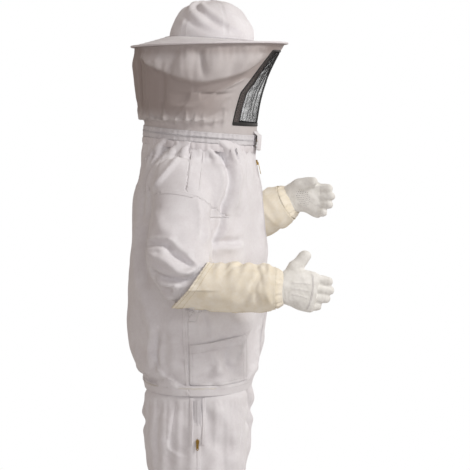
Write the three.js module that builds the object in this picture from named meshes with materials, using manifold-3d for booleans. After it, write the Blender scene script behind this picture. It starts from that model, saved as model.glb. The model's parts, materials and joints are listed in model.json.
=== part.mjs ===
// Beekeeping suit: a jacket with a zip-off hat-and-veil hood, elasticated trousers and a pair of gauntlet gloves,
// standing as it is worn. Millimetres, +Z up, the wearer faces -Y, the wearer's left is +X.
// The origin is the centre of the neck zip ring, where the jacket hangs on the wearer's shoulders.
import * as THREE from "three";
import { ParametricGeometry } from "three/addons/geometries/ParametricGeometry.js";
import { mergeVertices } from "three/addons/utils/BufferGeometryUtils.js";
import Module from "manifold-3d";

// ---- driving dimensions ----
const CLOTH = 2; // wall of every cloth shell
const GAP = 0.3; // between pieces that are sewn or laid together
const TRIM = 1.2; // thickness of tapes, elastics and facings
const REACH = 900; // half size of a cutting block

const NECK = { radius: 145, tilt: 5, collar: 34, tape: 13, tooth: 2.6 };
const FRONT_ARC = { radius: 1280, depth: 173, middle: -336 }; // the jacket front bows out along this arc
const JACKET = { length: 645, chestWidth: 205, hemWidth: 190, back: 188, hemBack: 143, sideSeam: 12 };
const PLACKET = { half: 5, tape: 12, top: -64 };
const POCKET = { top: -514, bottom: -612, front: -105 };
const HEM = { facing: 26, elastic: 16, elasticUp: 5 };

const HAT = { centreY: -30, base: 244, depth: 108, narrow: 0.93, height: 99, baseTilt: 3.4 };
const BRIM = { inner: 100, seat: 112, rim: 198, centreY: -24.5, rimZ: 229, rimTilt: -1.3, thick: 1.5, hoop: 1.6 };
const SWEATBAND = { height: 30, lean: 8 };
const WINDOW = { topHalf: 74, midHalf: 112, lowHalf: 116, top: 200, middle: 100, low: 20, binding: 4 };

const ELBOW = 85; // radius of the sleeve's bend
const SLEEVE = { shoulder: 62, upperDepth: 79, forearm: 52, cuff: 44, cuffLength: 20, end: 12 };
const GAUNTLET = { ease: 7, wrist: 51, taper: 22, mouth: 36, long: 210 };
const WRIST_BAND = { length: 34, out: 24, seat: 2, narrow: 41 };
const HAND = { seat: 14, length: 142, palm: 83, width: 51, thick: 23, finger: 11.5, thumb: 13, wall: 1.8 };

const HIP = { waist: -356, waistWidth: 166, waistDepth: 112, drop: 19, band: 38 };
const LEG = { half: 92, apart: 4.5, thigh: 133, knee: 108, calf: 92, cuff: 66, kneeUp: 100, floor: -1396 };
const SIDE_ZIP = { y: -10, below: 8, length: 115, tape: 8 };

const SLICES = { hat: 24, body: 32, zip: 64, sleeve: 16, glove: 20, leg: 20, flap: 60 }; // facets round each

// ---- geometry helpers ----
const wasm = await Module();
wasm.setup();
const { PI, sin, cos, abs, sign } = Math;
const radians = THREE.MathUtils.degToRad;
const lerp = THREE.MathUtils.lerp;
const vec = (x, y, z) => new THREE.Vector3(x, y, z);

// A closed geometry as a manifold-3d solid with its faces pointing out.
function solid(geometry) {
  const bare = new THREE.BufferGeometry().setAttribute("position", geometry.getAttribute("position"));
  bare.setIndex(geometry.index);
  const merged = mergeVertices(bare, 1e-3);
  const corners = merged.index.array;
  const triangles = [];
  for (let i = 0; i < corners.length; i += 3) {
    const [a, b, c] = [corners[i], corners[i + 1], corners[i + 2]];
    if (a !== b && b !== c && a !== c) triangles.push(a, b, c);
  }
  const vertProperties = new Float32Array(merged.attributes.position.array);
  const make = () => new wasm.Manifold(new wasm.Mesh({ numProp: 3, vertProperties, triVerts: new Uint32Array(triangles) }));
  const made = make();
  if (made.volume() > 0) return made;
  triangles.reverse();
  return make();
}

// A manifold-3d solid back as a three.js geometry.
function geometryOf(body) {
  const mesh = body.getMesh();
  const position = new Float32Array(mesh.numVert * 3);
  for (let i = 0; i < mesh.numVert; i++)
    position.set(mesh.vertProperties.subarray(i * mesh.numProp, i * mesh.numProp + 3), i * 3);
  const geometry = new THREE.BufferGeometry();
  geometry.setAttribute("position", new THREE.BufferAttribute(position, 3));
  geometry.setIndex(new THREE.BufferAttribute(new Uint32Array(mesh.triVerts), 1));
  geometry.computeVertexNormals();
  return geometry;
}

// A surface through stations, each a function from angle to point, in order.
function loft(stations, slices) {
  const last = stations.length - 1;
  const at = (u, v, target) => {
    const station = stations[THREE.MathUtils.clamp(Math.round(v * last), 0, last)];
    target.copy(station(u * 2 * PI));
  };
  return new ParametricGeometry(at, slices, last);
}

// A tube with a wall: outer rings one way, inner rings back, and round to the start.
function tubeWall(outer, inner, slices) {
  return solid(loft([...outer, ...inner.slice().reverse(), outer[0]], slices));
}

// A filled body through rings, closed by a point at each end.
function filled(rings, slices) {
  const middle = (ring) => {
    const point = vec(0, 0, 0);
    for (let i = 0; i < 8; i++) point.addScaledVector(ring((i * PI) / 4), 1 / 8);
    return () => point;
  };
  return solid(loft([middle(rings[0]), ...rings, middle(rings.at(-1))], slices));
}

// A box from its low corner to its high corner.
function block(low, high) {
  const geometry = new THREE.BoxGeometry(high.x - low.x, high.y - low.y, high.z - low.z);
  geometry.translate((low.x + high.x) / 2, (low.y + high.y) / 2, (low.z + high.z) / 2);
  return solid(geometry);
}

// A shape drawn in two axes and extruded along the third: along "x" it is drawn in (y, z), along "y" in (x, z).
function prism(points, along, from, to) {
  const shape = new THREE.Shape(points.map(([a, b]) => new THREE.Vector2(a, b)));
  const geometry = new THREE.ExtrudeGeometry(shape, { depth: to - from, bevelEnabled: false });
  const axes = { x: [vec(0, 1, 0), vec(0, 0, 1), vec(1, 0, 0)], y: [vec(1, 0, 0), vec(0, 0, 1), vec(0, 1, 0)] };
  const [first, second, third] = axes[along];
  geometry.translate(0, 0, from);
  geometry.applyMatrix4(new THREE.Matrix4().makeBasis(first, second, third));
  return solid(geometry);
}

// A ring turned from an outline of (radius, height) points, round the Z axis.
function turned(outline, segments) {
  const points = [...outline, outline[0]].map(([r, z]) => new THREE.Vector2(r, z));
  return new THREE.LatheGeometry(points, segments).rotateX(PI / 2);
}

// ---- the object and its bodies ----
const suit = new THREE.Group();
const COLOURS = {
  white_cotton: [0xe4e1e4, 0.9, 0],
  white_binding: [0xd9d6d8, 0.85, 0],
  black_net: [0x1d1d1b, 0.8, 0],
  cream_canvas: [0xf0e7d0, 0.92, 0],
  goat_leather: [0xe8e7df, 0.6, 0],
  elastic: [0xe9e7e2, 0.8, 0],
  spring_steel: [0xb8bbc0, 0.3, 1],
  zip_tape: [0xe6e6e6, 0.85, 0],
  zip_metal: [0xc9a24a, 0.35, 1],
};
const MATERIALS = Object.fromEntries(
  Object.entries(COLOURS).map(([name, [color, roughness, metalness]]) => [
    name,
    new THREE.MeshStandardMaterial({ color, roughness, metalness, name }),
  ]),
);
function add(name, body, material, parent = suit) {
  const geometry = body.isBufferGeometry ? body : geometryOf(body);
  const mesh = new THREE.Mesh(geometry, MATERIALS[material]);
  mesh.name = name;
  parent.add(mesh);
  return mesh;
}
// A group whose +Z is the neck ring's axis: the ring drops towards the front.
const neckTurn = radians(NECK.tilt);
const neckFrame = () => {
  const group = new THREE.Group();
  group.rotation.x = neckTurn;
  suit.add(group);
  return group;
};
const inNeckFrame = (point) => point.applyAxisAngle(vec(1, 0, 0), neckTurn);

// ---- hood: hat, brim and veil ----
// A point of the brim at share t from the crown seat to the rim, raised by lift.
function brimPoint(t, angle, lift) {
  const reach = BRIM.seat + Math.min(t, 0) * (BRIM.rim - BRIM.seat);
  const seat = vec(
    HAT.narrow * reach * cos(angle),
    HAT.centreY + reach * sin(angle),
    HAT.base + reach * sin(angle) * Math.tan(radians(HAT.baseTilt)),
  );
  const rim = vec(
    BRIM.rim * cos(angle),
    BRIM.centreY + BRIM.rim * sin(angle),
    BRIM.rimZ + BRIM.rim * sin(angle) * Math.tan(radians(BRIM.rimTilt)),
  );
  return seat.lerp(rim, Math.max(t, 0)).add(vec(0, 0, lift));
}
function brimStations(shares, lift) {
  return shares.map((t) => (angle) => brimPoint(t, angle, lift));
}
const brimInner = (BRIM.inner - BRIM.seat) / (BRIM.rim - BRIM.seat);
const brimShares = [brimInner, 0, 0.5, 1];
const hatTurn = radians(HAT.baseTilt);

function makeHat() {
  const crownFrame = new THREE.Group();
  crownFrame.position.set(0, HAT.centreY, HAT.base + BRIM.thick / 2 + 2 * GAP);
  crownFrame.rotation.x = hatTurn;
  crownFrame.scale.x = HAT.narrow;
  suit.add(crownFrame);
  const dome = (radius, height, steps) =>
    Array.from({ length: steps + 1 }, (_, i) => {
      const turn = (i / steps) * (PI / 2);
      return new THREE.Vector2(i === steps ? 0 : radius * cos(turn), height * sin(turn));
    });
  const crownOutline = [
    ...dome(HAT.depth, HAT.height, 6),
    ...dome(HAT.depth - CLOTH, HAT.height - CLOTH, 6).reverse(),
    new THREE.Vector2(HAT.depth, 0),
  ];
  const crown = new THREE.LatheGeometry(crownOutline.slice(0, -1), SLICES.hat);
  add("hat_crown", solid(closeDome(crown, HAT.depth, SLICES.hat)), "white_cotton", crownFrame);
  const low = HAT.depth - CLOTH - 2 * GAP;
  const band = [
    [low, GAP],
    [low - SWEATBAND.lean, SWEATBAND.height],
    [low - SWEATBAND.lean - TRIM, SWEATBAND.height],
    [low - TRIM, GAP],
  ];
  add("hat_sweatband", solid(turned(band, SLICES.hat)), "white_binding", crownFrame);

  const half = BRIM.thick / 2;
  const brim = tubeWall(brimStations(brimShares, half), brimStations(brimShares, -half), SLICES.body);
  add("hat_brim", brim, "white_cotton");

  const rimFrame = new THREE.Group();
  rimFrame.position.set(0, BRIM.centreY, BRIM.rimZ);
  rimFrame.rotation.x = radians(BRIM.rimTilt);
  suit.add(rimFrame);
  const hoopRadius = BRIM.rim + BRIM.hoop + 2 * GAP;
  add("brim_hoop", solid(new THREE.TorusGeometry(hoopRadius, BRIM.hoop, 5, SLICES.body)), "spring_steel", rimFrame);
  const inside = BRIM.hoop + GAP;
  const outside = inside + 0.9;
  const lip = BRIM.rim - 4;
  const binding = [
    [lip, inside],
    [lip, outside],
    [hoopRadius + outside, outside],
    [hoopRadius + outside, -outside],
    [lip, -outside],
    [lip, -inside],
    [hoopRadius + inside, -inside],
    [hoopRadius + inside, inside],
  ];
  add("brim_binding", solid(turned(binding, SLICES.body)), "white_binding", rimFrame);
}

// A dome's lathe is open round its foot: the ring between the two walls closes it.
function closeDome(geometry, radius, segments) {
  const foot = [
    [radius - CLOTH, 0],
    [radius, 0],
  ].map(([r, z]) => new THREE.Vector2(r, z));
  const ring = new THREE.LatheGeometry(foot, segments);
  const joined = [geometry, ring].map((g) => g.toNonIndexed().getAttribute("position").array);
  const position = new Float32Array(joined[0].length + joined[1].length);
  position.set(joined[0]);
  position.set(joined[1], joined[0].length);
  const whole = new THREE.BufferGeometry();
  whole.setAttribute("position", new THREE.BufferAttribute(position, 3));
  return mergeVertices(whole, 1e-3).rotateX(PI / 2);
}

// The veil hangs from under the brim to the neck zip; share 0 is the neck and 1 the brim.
const neckRing = (height, inset) => (angle) => {
  const radius = NECK.radius - inset;
  return inNeckFrame(vec(radius * cos(angle), radius * sin(angle), height));
};
const veilTop = (BRIM.rim - 5 - BRIM.seat) / (BRIM.rim - BRIM.seat);
function veilRing(share, inset) {
  return (angle) => {
    const top = brimPoint(veilTop, angle, -BRIM.thick / 2 - GAP - 0.1);
    const neck = neckRing(NECK.tape + 3, 0)(angle);
    const flare = share ** 2; // nearly upright low down, opening out under the brim
    const point = vec(lerp(neck.x, top.x, flare), lerp(neck.y, top.y, flare), lerp(neck.z, top.z, share));
    return point.sub(vec(cos(angle), sin(angle), 0).multiplyScalar(inset));
  };
}
const VEIL_SHARES = [0, 0.2, 0.4, 0.58, 0.74, 0.88, 1];
function veilShell(outer, inner, shares = VEIL_SHARES) {
  const rings = (inset) => [neckRing(NECK.tooth + GAP, inset), ...shares.map((s) => veilRing(s, inset))];
  return tubeWall(rings(outer), rings(inner), SLICES.body);
}

function windowOutline(grow) {
  const half = [
    [WINDOW.lowHalf + grow, WINDOW.low - grow],
    [WINDOW.midHalf + grow, WINDOW.middle],
    [WINDOW.topHalf + grow, WINDOW.top + grow],
  ];
  return [...half, ...half.map(([x, z]) => [-x, z]).reverse()];
}
const windowPrism = (grow) => prism(windowOutline(grow), "y", -REACH, -20);

function makeVeil() {
  const shell = veilShell(0, CLOTH);
  add("veil_panel", shell.subtract(windowPrism(GAP)), "white_cotton");
  add("face_mesh", shell.intersect(windowPrism(0)), "black_net");
  const skin = veilShell(-GAP - TRIM, -GAP, VEIL_SHARES.slice(0, -1));
  const frame = windowPrism(WINDOW.binding).subtract(windowPrism(-WINDOW.binding));
  add("mesh_binding", skin.intersect(frame), "black_net");

  const inside = NECK.radius - CLOTH - GAP;
  const elastic = [
    [inside, 8],
    [inside, 17],
    [inside - TRIM, 17],
    [inside - TRIM, 8],
  ];
  add("veil_neck_elastic", solid(turned(elastic, SLICES.body)), "elastic", neckFrame());
}

// ---- neck zip: a toothed tape on the hood, another on the jacket, and two sliders that meet at the front ----
const tapeIn = NECK.radius + GAP;
const tapeOut = tapeIn + TRIM;
const toothOut = tapeOut + 1.8;
function neckTape(up) {
  const outline = [
    [tapeIn, up * 0.2],
    [toothOut, up * 0.2],
    [toothOut, up * NECK.tooth],
    [tapeOut, up * NECK.tooth],
    [tapeOut, up * NECK.tape],
    [tapeIn, up * NECK.tape],
  ];
  return solid(turned(outline, SLICES.zip));
}
const SLIDER = { length: 13, height: 8.4, thick: 4, pullLength: 21, pullWide: 6.4, pullThick: 1.2 };
const neckSliderRadius = toothOut + 0.4; // clears the teeth all round the ring
// A slider's body: a plate with a waisted outline, drawn in (across, along).
function sliderBody(width, length, thick) {
  const shape = new THREE.Shape();
  shape.moveTo(-width / 2, length * 0.2);
  shape.lineTo(-width * 0.28, length / 2);
  shape.lineTo(width * 0.28, length / 2);
  shape.lineTo(width / 2, length * 0.2);
  shape.lineTo(width * 0.4, -length / 2);
  shape.lineTo(-width * 0.4, -length / 2);
  shape.closePath();
  return new THREE.ExtrudeGeometry(shape, { depth: thick, bevelEnabled: false });
}
// A pull tab: a rounded plate with a grip hole, its pivot at the origin and its body along -Y.
function pullTab(width, length, thick) {
  const shape = new THREE.Shape();
  shape.moveTo(-width * 0.3, 0.5);
  shape.lineTo(width * 0.3, 0.5);
  shape.lineTo(width / 2, -length * 0.35);
  shape.absarc(0, -length + width / 2, width / 2, 0, -PI, true);
  shape.lineTo(-width / 2, -length * 0.35);
  shape.closePath();
  const hole = new THREE.Path().absarc(0, -length + width / 2, width * 0.24, 0, 2 * PI, false);
  shape.holes.push(hole);
  return new THREE.ExtrudeGeometry(shape, { depth: thick, bevelEnabled: false, curveSegments: 4 });
}

function makeNeckZip() {
  add("neck_zip_tape_upper", neckTape(1), "zip_tape", neckFrame());
  add("neck_zip_tape_lower", neckTape(-1), "zip_tape", neckFrame());
  for (const [side, place] of Object.entries({ left: 1, right: -1 })) {
    const holder = neckFrame();
    const turn = new THREE.Group();
    turn.rotation.z = radians(-90 + place * NECK_SLIDER_ANGLE);
    holder.add(turn);
    const seat = new THREE.Group();
    seat.position.x = neckSliderRadius;
    // local X goes up the ring's axis, local Y along the zip and local Z outwards
    seat.setRotationFromMatrix(new THREE.Matrix4().makeBasis(vec(0, 0, -place), vec(0, place, 0), vec(1, 0, 0)));
    turn.add(seat);
    const body = sliderBody(SLIDER.height, SLIDER.length, SLIDER.thick);
    add(`neck_zip_slider_${side}`, solid(body), "zip_metal", seat);
    const hang = new THREE.Group();
    hang.position.set(neckSliderRadius + SLIDER.thick + 0.4, 0, -1);
    hang.setRotationFromMatrix(new THREE.Matrix4().makeBasis(vec(0, 1, 0), vec(0, 0, 1), vec(1, 0, 0)));
    turn.add(hang);
    const tab = pullTab(SLIDER.pullWide, SLIDER.pullLength, SLIDER.pullThick);
    add(`neck_zip_pull_${side}`, solid(tab), "zip_metal", hang);
  }
  // the throat flap covers the place where the two sliders meet
  const lip = 1.5;
  const over = neckSliderRadius + SLIDER.thick + SLIDER.pullThick + 2.4;
  const flap = [
    [tapeIn + 0.5, 23],
    [tapeIn + 0.5, 18],
    [over, 12],
    [over, -26],
    [over + lip, -26],
    [over + lip, 13],
    [tapeIn + lip, 23],
  ];
  const spread = over * Math.tan(radians(FLAP_ANGLE));
  const wedge = prism(
    [
      [-spread, -REACH],
      [spread, -REACH],
      [spread, REACH],
      [-spread, REACH],
    ],
    "y",
    -REACH,
    0,
  );
  add("throat_flap", solid(turned(flap, SLICES.flap)).intersect(wedge), "white_cotton", neckFrame());
}
const NECK_SLIDER_ANGLE = 5; // from the front centre to each slider's middle
const FLAP_ANGLE = 17;

// ---- jacket ----
const arcY = (z) => {
  const rise = z - FRONT_ARC.middle;
  return FRONT_ARC.radius - FRONT_ARC.depth - Math.sqrt(FRONT_ARC.radius ** 2 - rise ** 2);
};
const spline = (points) => new THREE.SplineCurve(points.map(([a, b]) => new THREE.Vector2(a, b)));
// The value of a profile at a height, by walking its curve down.
function profile(points) {
  const steps = spline(points).getPoints(80);
  return (z) => {
    const next = steps.findIndex((p) => p.x <= z);
    if (next <= 0) return steps[next === 0 ? 0 : steps.length - 1].y;
    const [a, b] = [steps[next - 1], steps[next]];
    return lerp(a.y, b.y, (a.x - z) / (a.x - b.x || 1));
  };
}
const jacketWidth = profile([
  [-NECK.collar, NECK.radius],
  [-52, 176],
  [-80, 194],
  [-125, 203],
  [-250, JACKET.chestWidth],
  [-450, JACKET.chestWidth + 3],
  [-560, JACKET.chestWidth],
  [-615, JACKET.hemWidth + 6],
  [-JACKET.length, JACKET.hemWidth],
]);
const jacketBack = profile([
  [-NECK.collar, NECK.radius],
  [-70, 156],
  [-125, 172],
  [-200, 184],
  [-330, JACKET.back],
  [-460, 182],
  [-570, 170],
  [-610, 153],
  [-JACKET.length, JACKET.hemBack],
]);
function ovalRing(x, y, z, wide, deep, power = 2.2) {
  return (angle) => {
    const [c, s] = [cos(angle), sin(angle)];
    return vec(x + wide * sign(c) * abs(c) ** (2 / power), y + deep * sign(s) * abs(s) ** (2 / power), z);
  };
}
// The jacket's ring at a height: a tilted circle at the collar, an upright rounded box below the neck.
function jacketRing(z, inset) {
  const merge = THREE.MathUtils.smoothstep(-z, NECK.collar, -PLACKET.top - 1);
  const collar = neckRing(z, inset);
  const front = arcY(z);
  const back = jacketBack(z);
  const body = ovalRing(0, (front + back) / 2, z, jacketWidth(z) - inset, (back - front) / 2 - inset, 2.35);
  return (angle) => collar(angle).lerp(body(angle), merge);
}
const hemHeights = {
  facing: -JACKET.length + HEM.facing,
  elasticTop: -JACKET.length + HEM.elasticUp + HEM.elastic,
  elasticLow: -JACKET.length + HEM.elasticUp,
};
function jacketHeights(top, bottom) {
  const heights = [-NECK.collar, -46, PLACKET.top, -82, -108];
  for (let z = -150; z > hemHeights.facing + 30; z -= 52) heights.push(z);
  heights.push((heights.at(-1) + hemHeights.facing) / 2, ...Object.values(hemHeights));
  return [top, ...heights.filter((z) => z < top - 1 && z > bottom + 1), bottom];
}
function jacketShell(outer, inner, top = -NECK.tooth - GAP, bottom = -JACKET.length) {
  const rings = (inset) => jacketHeights(top, bottom).map((z) => jacketRing(z, inset));
  return tubeWall(rings(outer), rings(inner), SLICES.body);
}
const jacketFilled = (inset) =>
  filled(jacketHeights(-12, -JACKET.length).map((z) => jacketRing(z, inset)), SLICES.body);

// ---- arms: path, sleeves ----
// A bend of constant radius between two directions that meet at a corner.
class Bend extends THREE.Curve {
  constructor(corner, toStart, toEnd, radius) {
    super();
    const half = toStart.angleTo(toEnd) / 2;
    this.tangent = radius / Math.tan(half);
    this.turn = PI - 2 * half;
    this.radius = radius;
    const bisector = toStart.clone().add(toEnd).normalize();
    this.centre = corner.clone().addScaledVector(bisector, radius / sin(half));
    this.start = corner.clone().addScaledVector(toStart, this.tangent);
    this.end = corner.clone().addScaledVector(toEnd, this.tangent);
    this.first = this.start.clone().sub(this.centre).normalize();
    this.second = toStart.clone().negate();
  }
  getPoint(t, target = vec(0, 0, 0)) {
    const turn = t * this.turn;
    return target
      .copy(this.centre)
      .addScaledVector(this.first, this.radius * cos(turn))
      .addScaledVector(this.second, this.radius * sin(turn));
  }
}

function makeArm(side, root, elbow, upperWay, wrist) {
  const reach = wrist.clone().sub(elbow).normalize();
  const bend = new Bend(elbow, upperWay, reach, ELBOW);
  const path = new THREE.CurvePath();
  const shoulder = new THREE.CubicBezierCurve3(
    root,
    root.clone().add(vec(side * 38, 0, -22)),
    bend.start.clone().addScaledVector(upperWay, 45),
    bend.start,
  );
  path.add(shoulder);
  path.add(bend);
  path.add(new THREE.LineCurve3(bend.end, wrist));
  const straight = bend.end.distanceTo(wrist);
  return { side, path, bend, reach, wrist, straight, length: path.getLength() };
}
const armOut = JACKET.chestWidth + SLEEVE.forearm + GAUNTLET.ease; // where a forearm just clears the chest
const ARMS = {
  right: makeArm(
    -1,
    vec(-140, 32, -88),
    vec(-armOut - 11, 35, -362),
    vec(0.3, 0, 0.95).normalize(),
    vec(-armOut - 4, -205, -362),
  ),
  left: makeArm(
    1,
    vec(140, 32, -88),
    vec(armOut + 23, 56, -336),
    vec(-0.36, -0.1, 0.93).normalize(),
    vec(armOut - 32, -212, -190),
  ),
};

// The sleeve's two half sizes at a distance back from the wrist: across the body, and in the arm's own plane.
function sleeveSize(arm, back) {
  const bendLength = arm.bend.radius * arm.bend.turn;
  const taper = SLEEVE.end + SLEEVE.cuffLength;
  const cuff = THREE.MathUtils.smoothstep(back, taper, taper + 24);
  const elbow = THREE.MathUtils.smoothstep(back, arm.straight, arm.straight + bendLength);
  const base = lerp(SLEEVE.cuff, SLEEVE.forearm, cuff);
  return [lerp(base, SLEEVE.shoulder, elbow), lerp(base, SLEEVE.upperDepth, elbow)];
}
function sleeveRing(arm, back, inset) {
  const share = 1 - back / arm.length;
  const centre = arm.path.getPointAt(share);
  const along = arm.path.getTangentAt(share).normalize();
  const across = vec(1, 0, 0).addScaledVector(along, -along.x).normalize();
  const other = along.clone().cross(across).normalize();
  const [wide, deep] = sleeveSize(arm, back).map((r) => r - inset);
  return (angle) =>
    centre
      .clone()
      .addScaledVector(across, wide * cos(angle))
      .addScaledVector(other, deep * sin(angle));
}
// Distances back from the wrist to each ring: closer at the cuff and round the elbow.
function sleeveBacks(arm) {
  const cuff = [SLEEVE.end, SLEEVE.end + SLEEVE.cuffLength, SLEEVE.end + SLEEVE.cuffLength + 24];
  const bendLength = arm.bend.radius * arm.bend.turn;
  const bend = [0, 0.25, 0.5, 0.75, 1].map((share) => arm.straight + share * bendLength);
  const rest = arm.length - bend.at(-1);
  const upper = [0.3, 0.55, 0.8, 1].map((share) => bend.at(-1) + share * rest);
  return [...cuff, (cuff[2] + bend[0]) / 2, ...bend, ...upper];
}
const sleeveRings = (arm, inset) => sleeveBacks(arm).map((back) => sleeveRing(arm, back, inset));
const sleeveShell = (arm) => tubeWall(sleeveRings(arm, 0), sleeveRings(arm, CLOTH), SLICES.sleeve);
const sleeveFilled = (arm, grow) => filled(sleeveRings(arm, -grow), SLICES.sleeve);

function makeJacket() {
  let shell = jacketShell(0, CLOTH);
  const core = jacketFilled(CLOTH);
  for (const [side, arm] of Object.entries(ARMS)) {
    shell = shell.subtract(sleeveFilled(arm, GAP));
    add(`sleeve_${side}`, largest(sleeveShell(arm).subtract(core)), "white_cotton");
    const cuff = [SLEEVE.end + 2, SLEEVE.end + SLEEVE.cuffLength - 2];
    const ring = (inset) => cuff.map((back) => sleeveRing(arm, back, inset));
    const elastic = tubeWall(ring(CLOTH + GAP), ring(CLOTH + GAP + TRIM), SLICES.sleeve);
    add(`cuff_elastic_${side}`, elastic, "elastic");
  }
  const front = block(vec(-REACH, -REACH, -REACH), vec(REACH, JACKET.sideSeam - GAP / 2, REACH));
  const slot = block(vec(-PLACKET.half, -REACH, -REACH), vec(PLACKET.half, 0, PLACKET.top));
  const seam = block(vec(-GAP / 2, -REACH, -REACH), vec(GAP / 2, 0, REACH));
  const back = block(vec(-REACH, JACKET.sideSeam + GAP / 2, -REACH), vec(REACH, REACH, REACH));
  const halves = { left: [0, REACH], right: [-REACH, 0] };
  const fronts = shell.intersect(front).subtract(slot).subtract(seam);
  add("jacket_back", largest(shell.intersect(back)), "white_cotton");
  for (const [side, [from, to]] of Object.entries(halves)) {
    const keep = block(vec(from, -REACH, -REACH), vec(to, REACH, REACH));
    add(`jacket_front_${side}`, largest(fronts.intersect(keep)), "white_cotton");
  }

  const collarIn = NECK.radius + GAP;
  const collar = [
    [collarIn, -NECK.collar + 2],
    [collarIn + TRIM, -NECK.collar + 2],
    [collarIn + TRIM, -NECK.tape - 1],
    [collarIn, -NECK.tape - 1],
  ];
  add("collar_band", solid(turned(collar, SLICES.body)), "white_binding", neckFrame());

  const { facing, elasticTop, elasticLow } = hemHeights;
  const elasticIn = CLOTH + GAP;
  const facingIn = elasticIn + TRIM + GAP;
  const elastic = jacketShell(elasticIn, elasticIn + TRIM, elasticTop, elasticLow);
  add("hem_elastic", elastic, "elastic");
  add("hem_facing", jacketShell(facingIn, facingIn + TRIM, facing, -JACKET.length), "white_cotton");

  const skin = jacketShell(-GAP - CLOTH, -GAP, POCKET.top + 40, POCKET.bottom - 12);
  const grown = jacketFilled(-GAP);
  for (const [side, [from, to]] of Object.entries(halves)) {
    const { top, bottom, front: edge } = POCKET;
    const corner = 14;
    const outline = [
      [edge, top],
      [JACKET.sideSeam - 2, top],
      [JACKET.sideSeam - 2, bottom],
      [edge + corner, bottom],
      [edge, bottom + corner],
    ];
    const pocket = skin.intersect(prism(outline, "x", from, to)).subtract(grown);
    add(`hip_pocket_${side}`, largest(pocket), "white_cotton");
  }
}

// The biggest of the pieces that a cut leaves.
function largest(body) {
  return body.decompose().sort((a, b) => b.volume() - a.volume())[0];
}

// ---- front zip, along the arc of the jacket front ----
const arcAxis = vec(0, FRONT_ARC.radius - FRONT_ARC.depth, FRONT_ARC.middle);
// A strip between two depths of the front arc, from x low to x high and between two heights.
function arcStrip(outer, inner, low, high, top, bottom) {
  const [r1, r2] = [FRONT_ARC.radius - outer, FRONT_ARC.radius - inner];
  const [a, b] = [top, bottom].map((z) => Math.asin((z - FRONT_ARC.middle) / FRONT_ARC.radius));
  const steps = 16;
  const arc = (radius, from, to) =>
    Array.from({ length: steps + 1 }, (_, i) => {
      const turn = lerp(from, to, i / steps);
      return [arcAxis.y - radius * cos(turn), arcAxis.z + radius * sin(turn)];
    });
  return prism([...arc(r1, a, b), ...arc(r2, b, a)], "x", low, high);
}
function makeFrontZip() {
  const bottom = -JACKET.length + HEM.facing + 4;
  const tapeTop = CLOTH + 4 * GAP;
  for (const [side, place] of Object.entries({ left: 1, right: -1 })) {
    const [low, high] = place > 0 ? [0.2, PLACKET.tape] : [-PLACKET.tape, -0.2];
    const [toothLow, toothHigh] = place > 0 ? [0.2, 2.4] : [-2.4, -0.2];
    const tape = arcStrip(tapeTop, tapeTop + TRIM, low, high, PLACKET.top, bottom);
    const teeth = arcStrip(0.6, tapeTop + 0.1, toothLow, toothHigh, PLACKET.top, bottom);
    add(`front_zip_tape_${side}`, tape.add(teeth), "zip_tape");
  }
  const turn = Math.asin((PLACKET.top - SLIDER.length / 2 - FRONT_ARC.middle) / FRONT_ARC.radius);
  const holder = new THREE.Group();
  holder.position.copy(arcAxis);
  holder.rotation.x = -turn;
  suit.add(holder);
  const out = -FRONT_ARC.radius + 0.2;
  const seat = new THREE.Group();
  seat.position.set(0, out, 0);
  seat.setRotationFromMatrix(new THREE.Matrix4().makeBasis(vec(1, 0, 0), vec(0, 0, 1), vec(0, -1, 0)));
  holder.add(seat);
  add("front_zip_slider", solid(sliderBody(SLIDER.height, SLIDER.length, SLIDER.thick)), "zip_metal", seat);
  const hang = new THREE.Group();
  hang.position.set(0, out - SLIDER.thick - 0.4, 0);
  hang.setRotationFromMatrix(new THREE.Matrix4().makeBasis(vec(1, 0, 0), vec(0, 0, 1), vec(0, -1, 0)));
  holder.add(hang);
  const tab = pullTab(SLIDER.pullWide, SLIDER.pullLength * 1.5, SLIDER.pullThick);
  add("front_zip_pull", solid(tab), "zip_metal", hang);
}

// ---- gloves: local +X along the forearm, +Z towards the thumb, the palm on the side that palm gives ----
function gloveFrame(arm) {
  const up = vec(0, 0, 1).addScaledVector(arm.reach, -arm.reach.z).normalize();
  const side = up.clone().cross(arm.reach);
  const group = new THREE.Group();
  group.position.copy(arm.wrist);
  group.setRotationFromMatrix(new THREE.Matrix4().makeBasis(arm.reach, side, up));
  suit.add(group);
  group.updateMatrixWorld(true);
  return group;
}
const roundRing = (x, wide, high) => (angle) => vec(x, wide * cos(angle), high * sin(angle));
function finger(from, to, radius) {
  const length = from.distanceTo(to);
  const geometry = new THREE.CapsuleGeometry(radius, length, 2, 7);
  const turn = new THREE.Quaternion().setFromUnitVectors(vec(0, 1, 0), to.clone().sub(from).normalize());
  geometry.applyQuaternion(turn);
  const middle = from.clone().lerp(to, 0.5);
  return solid(geometry.translate(middle.x, middle.y, middle.z));
}
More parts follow.
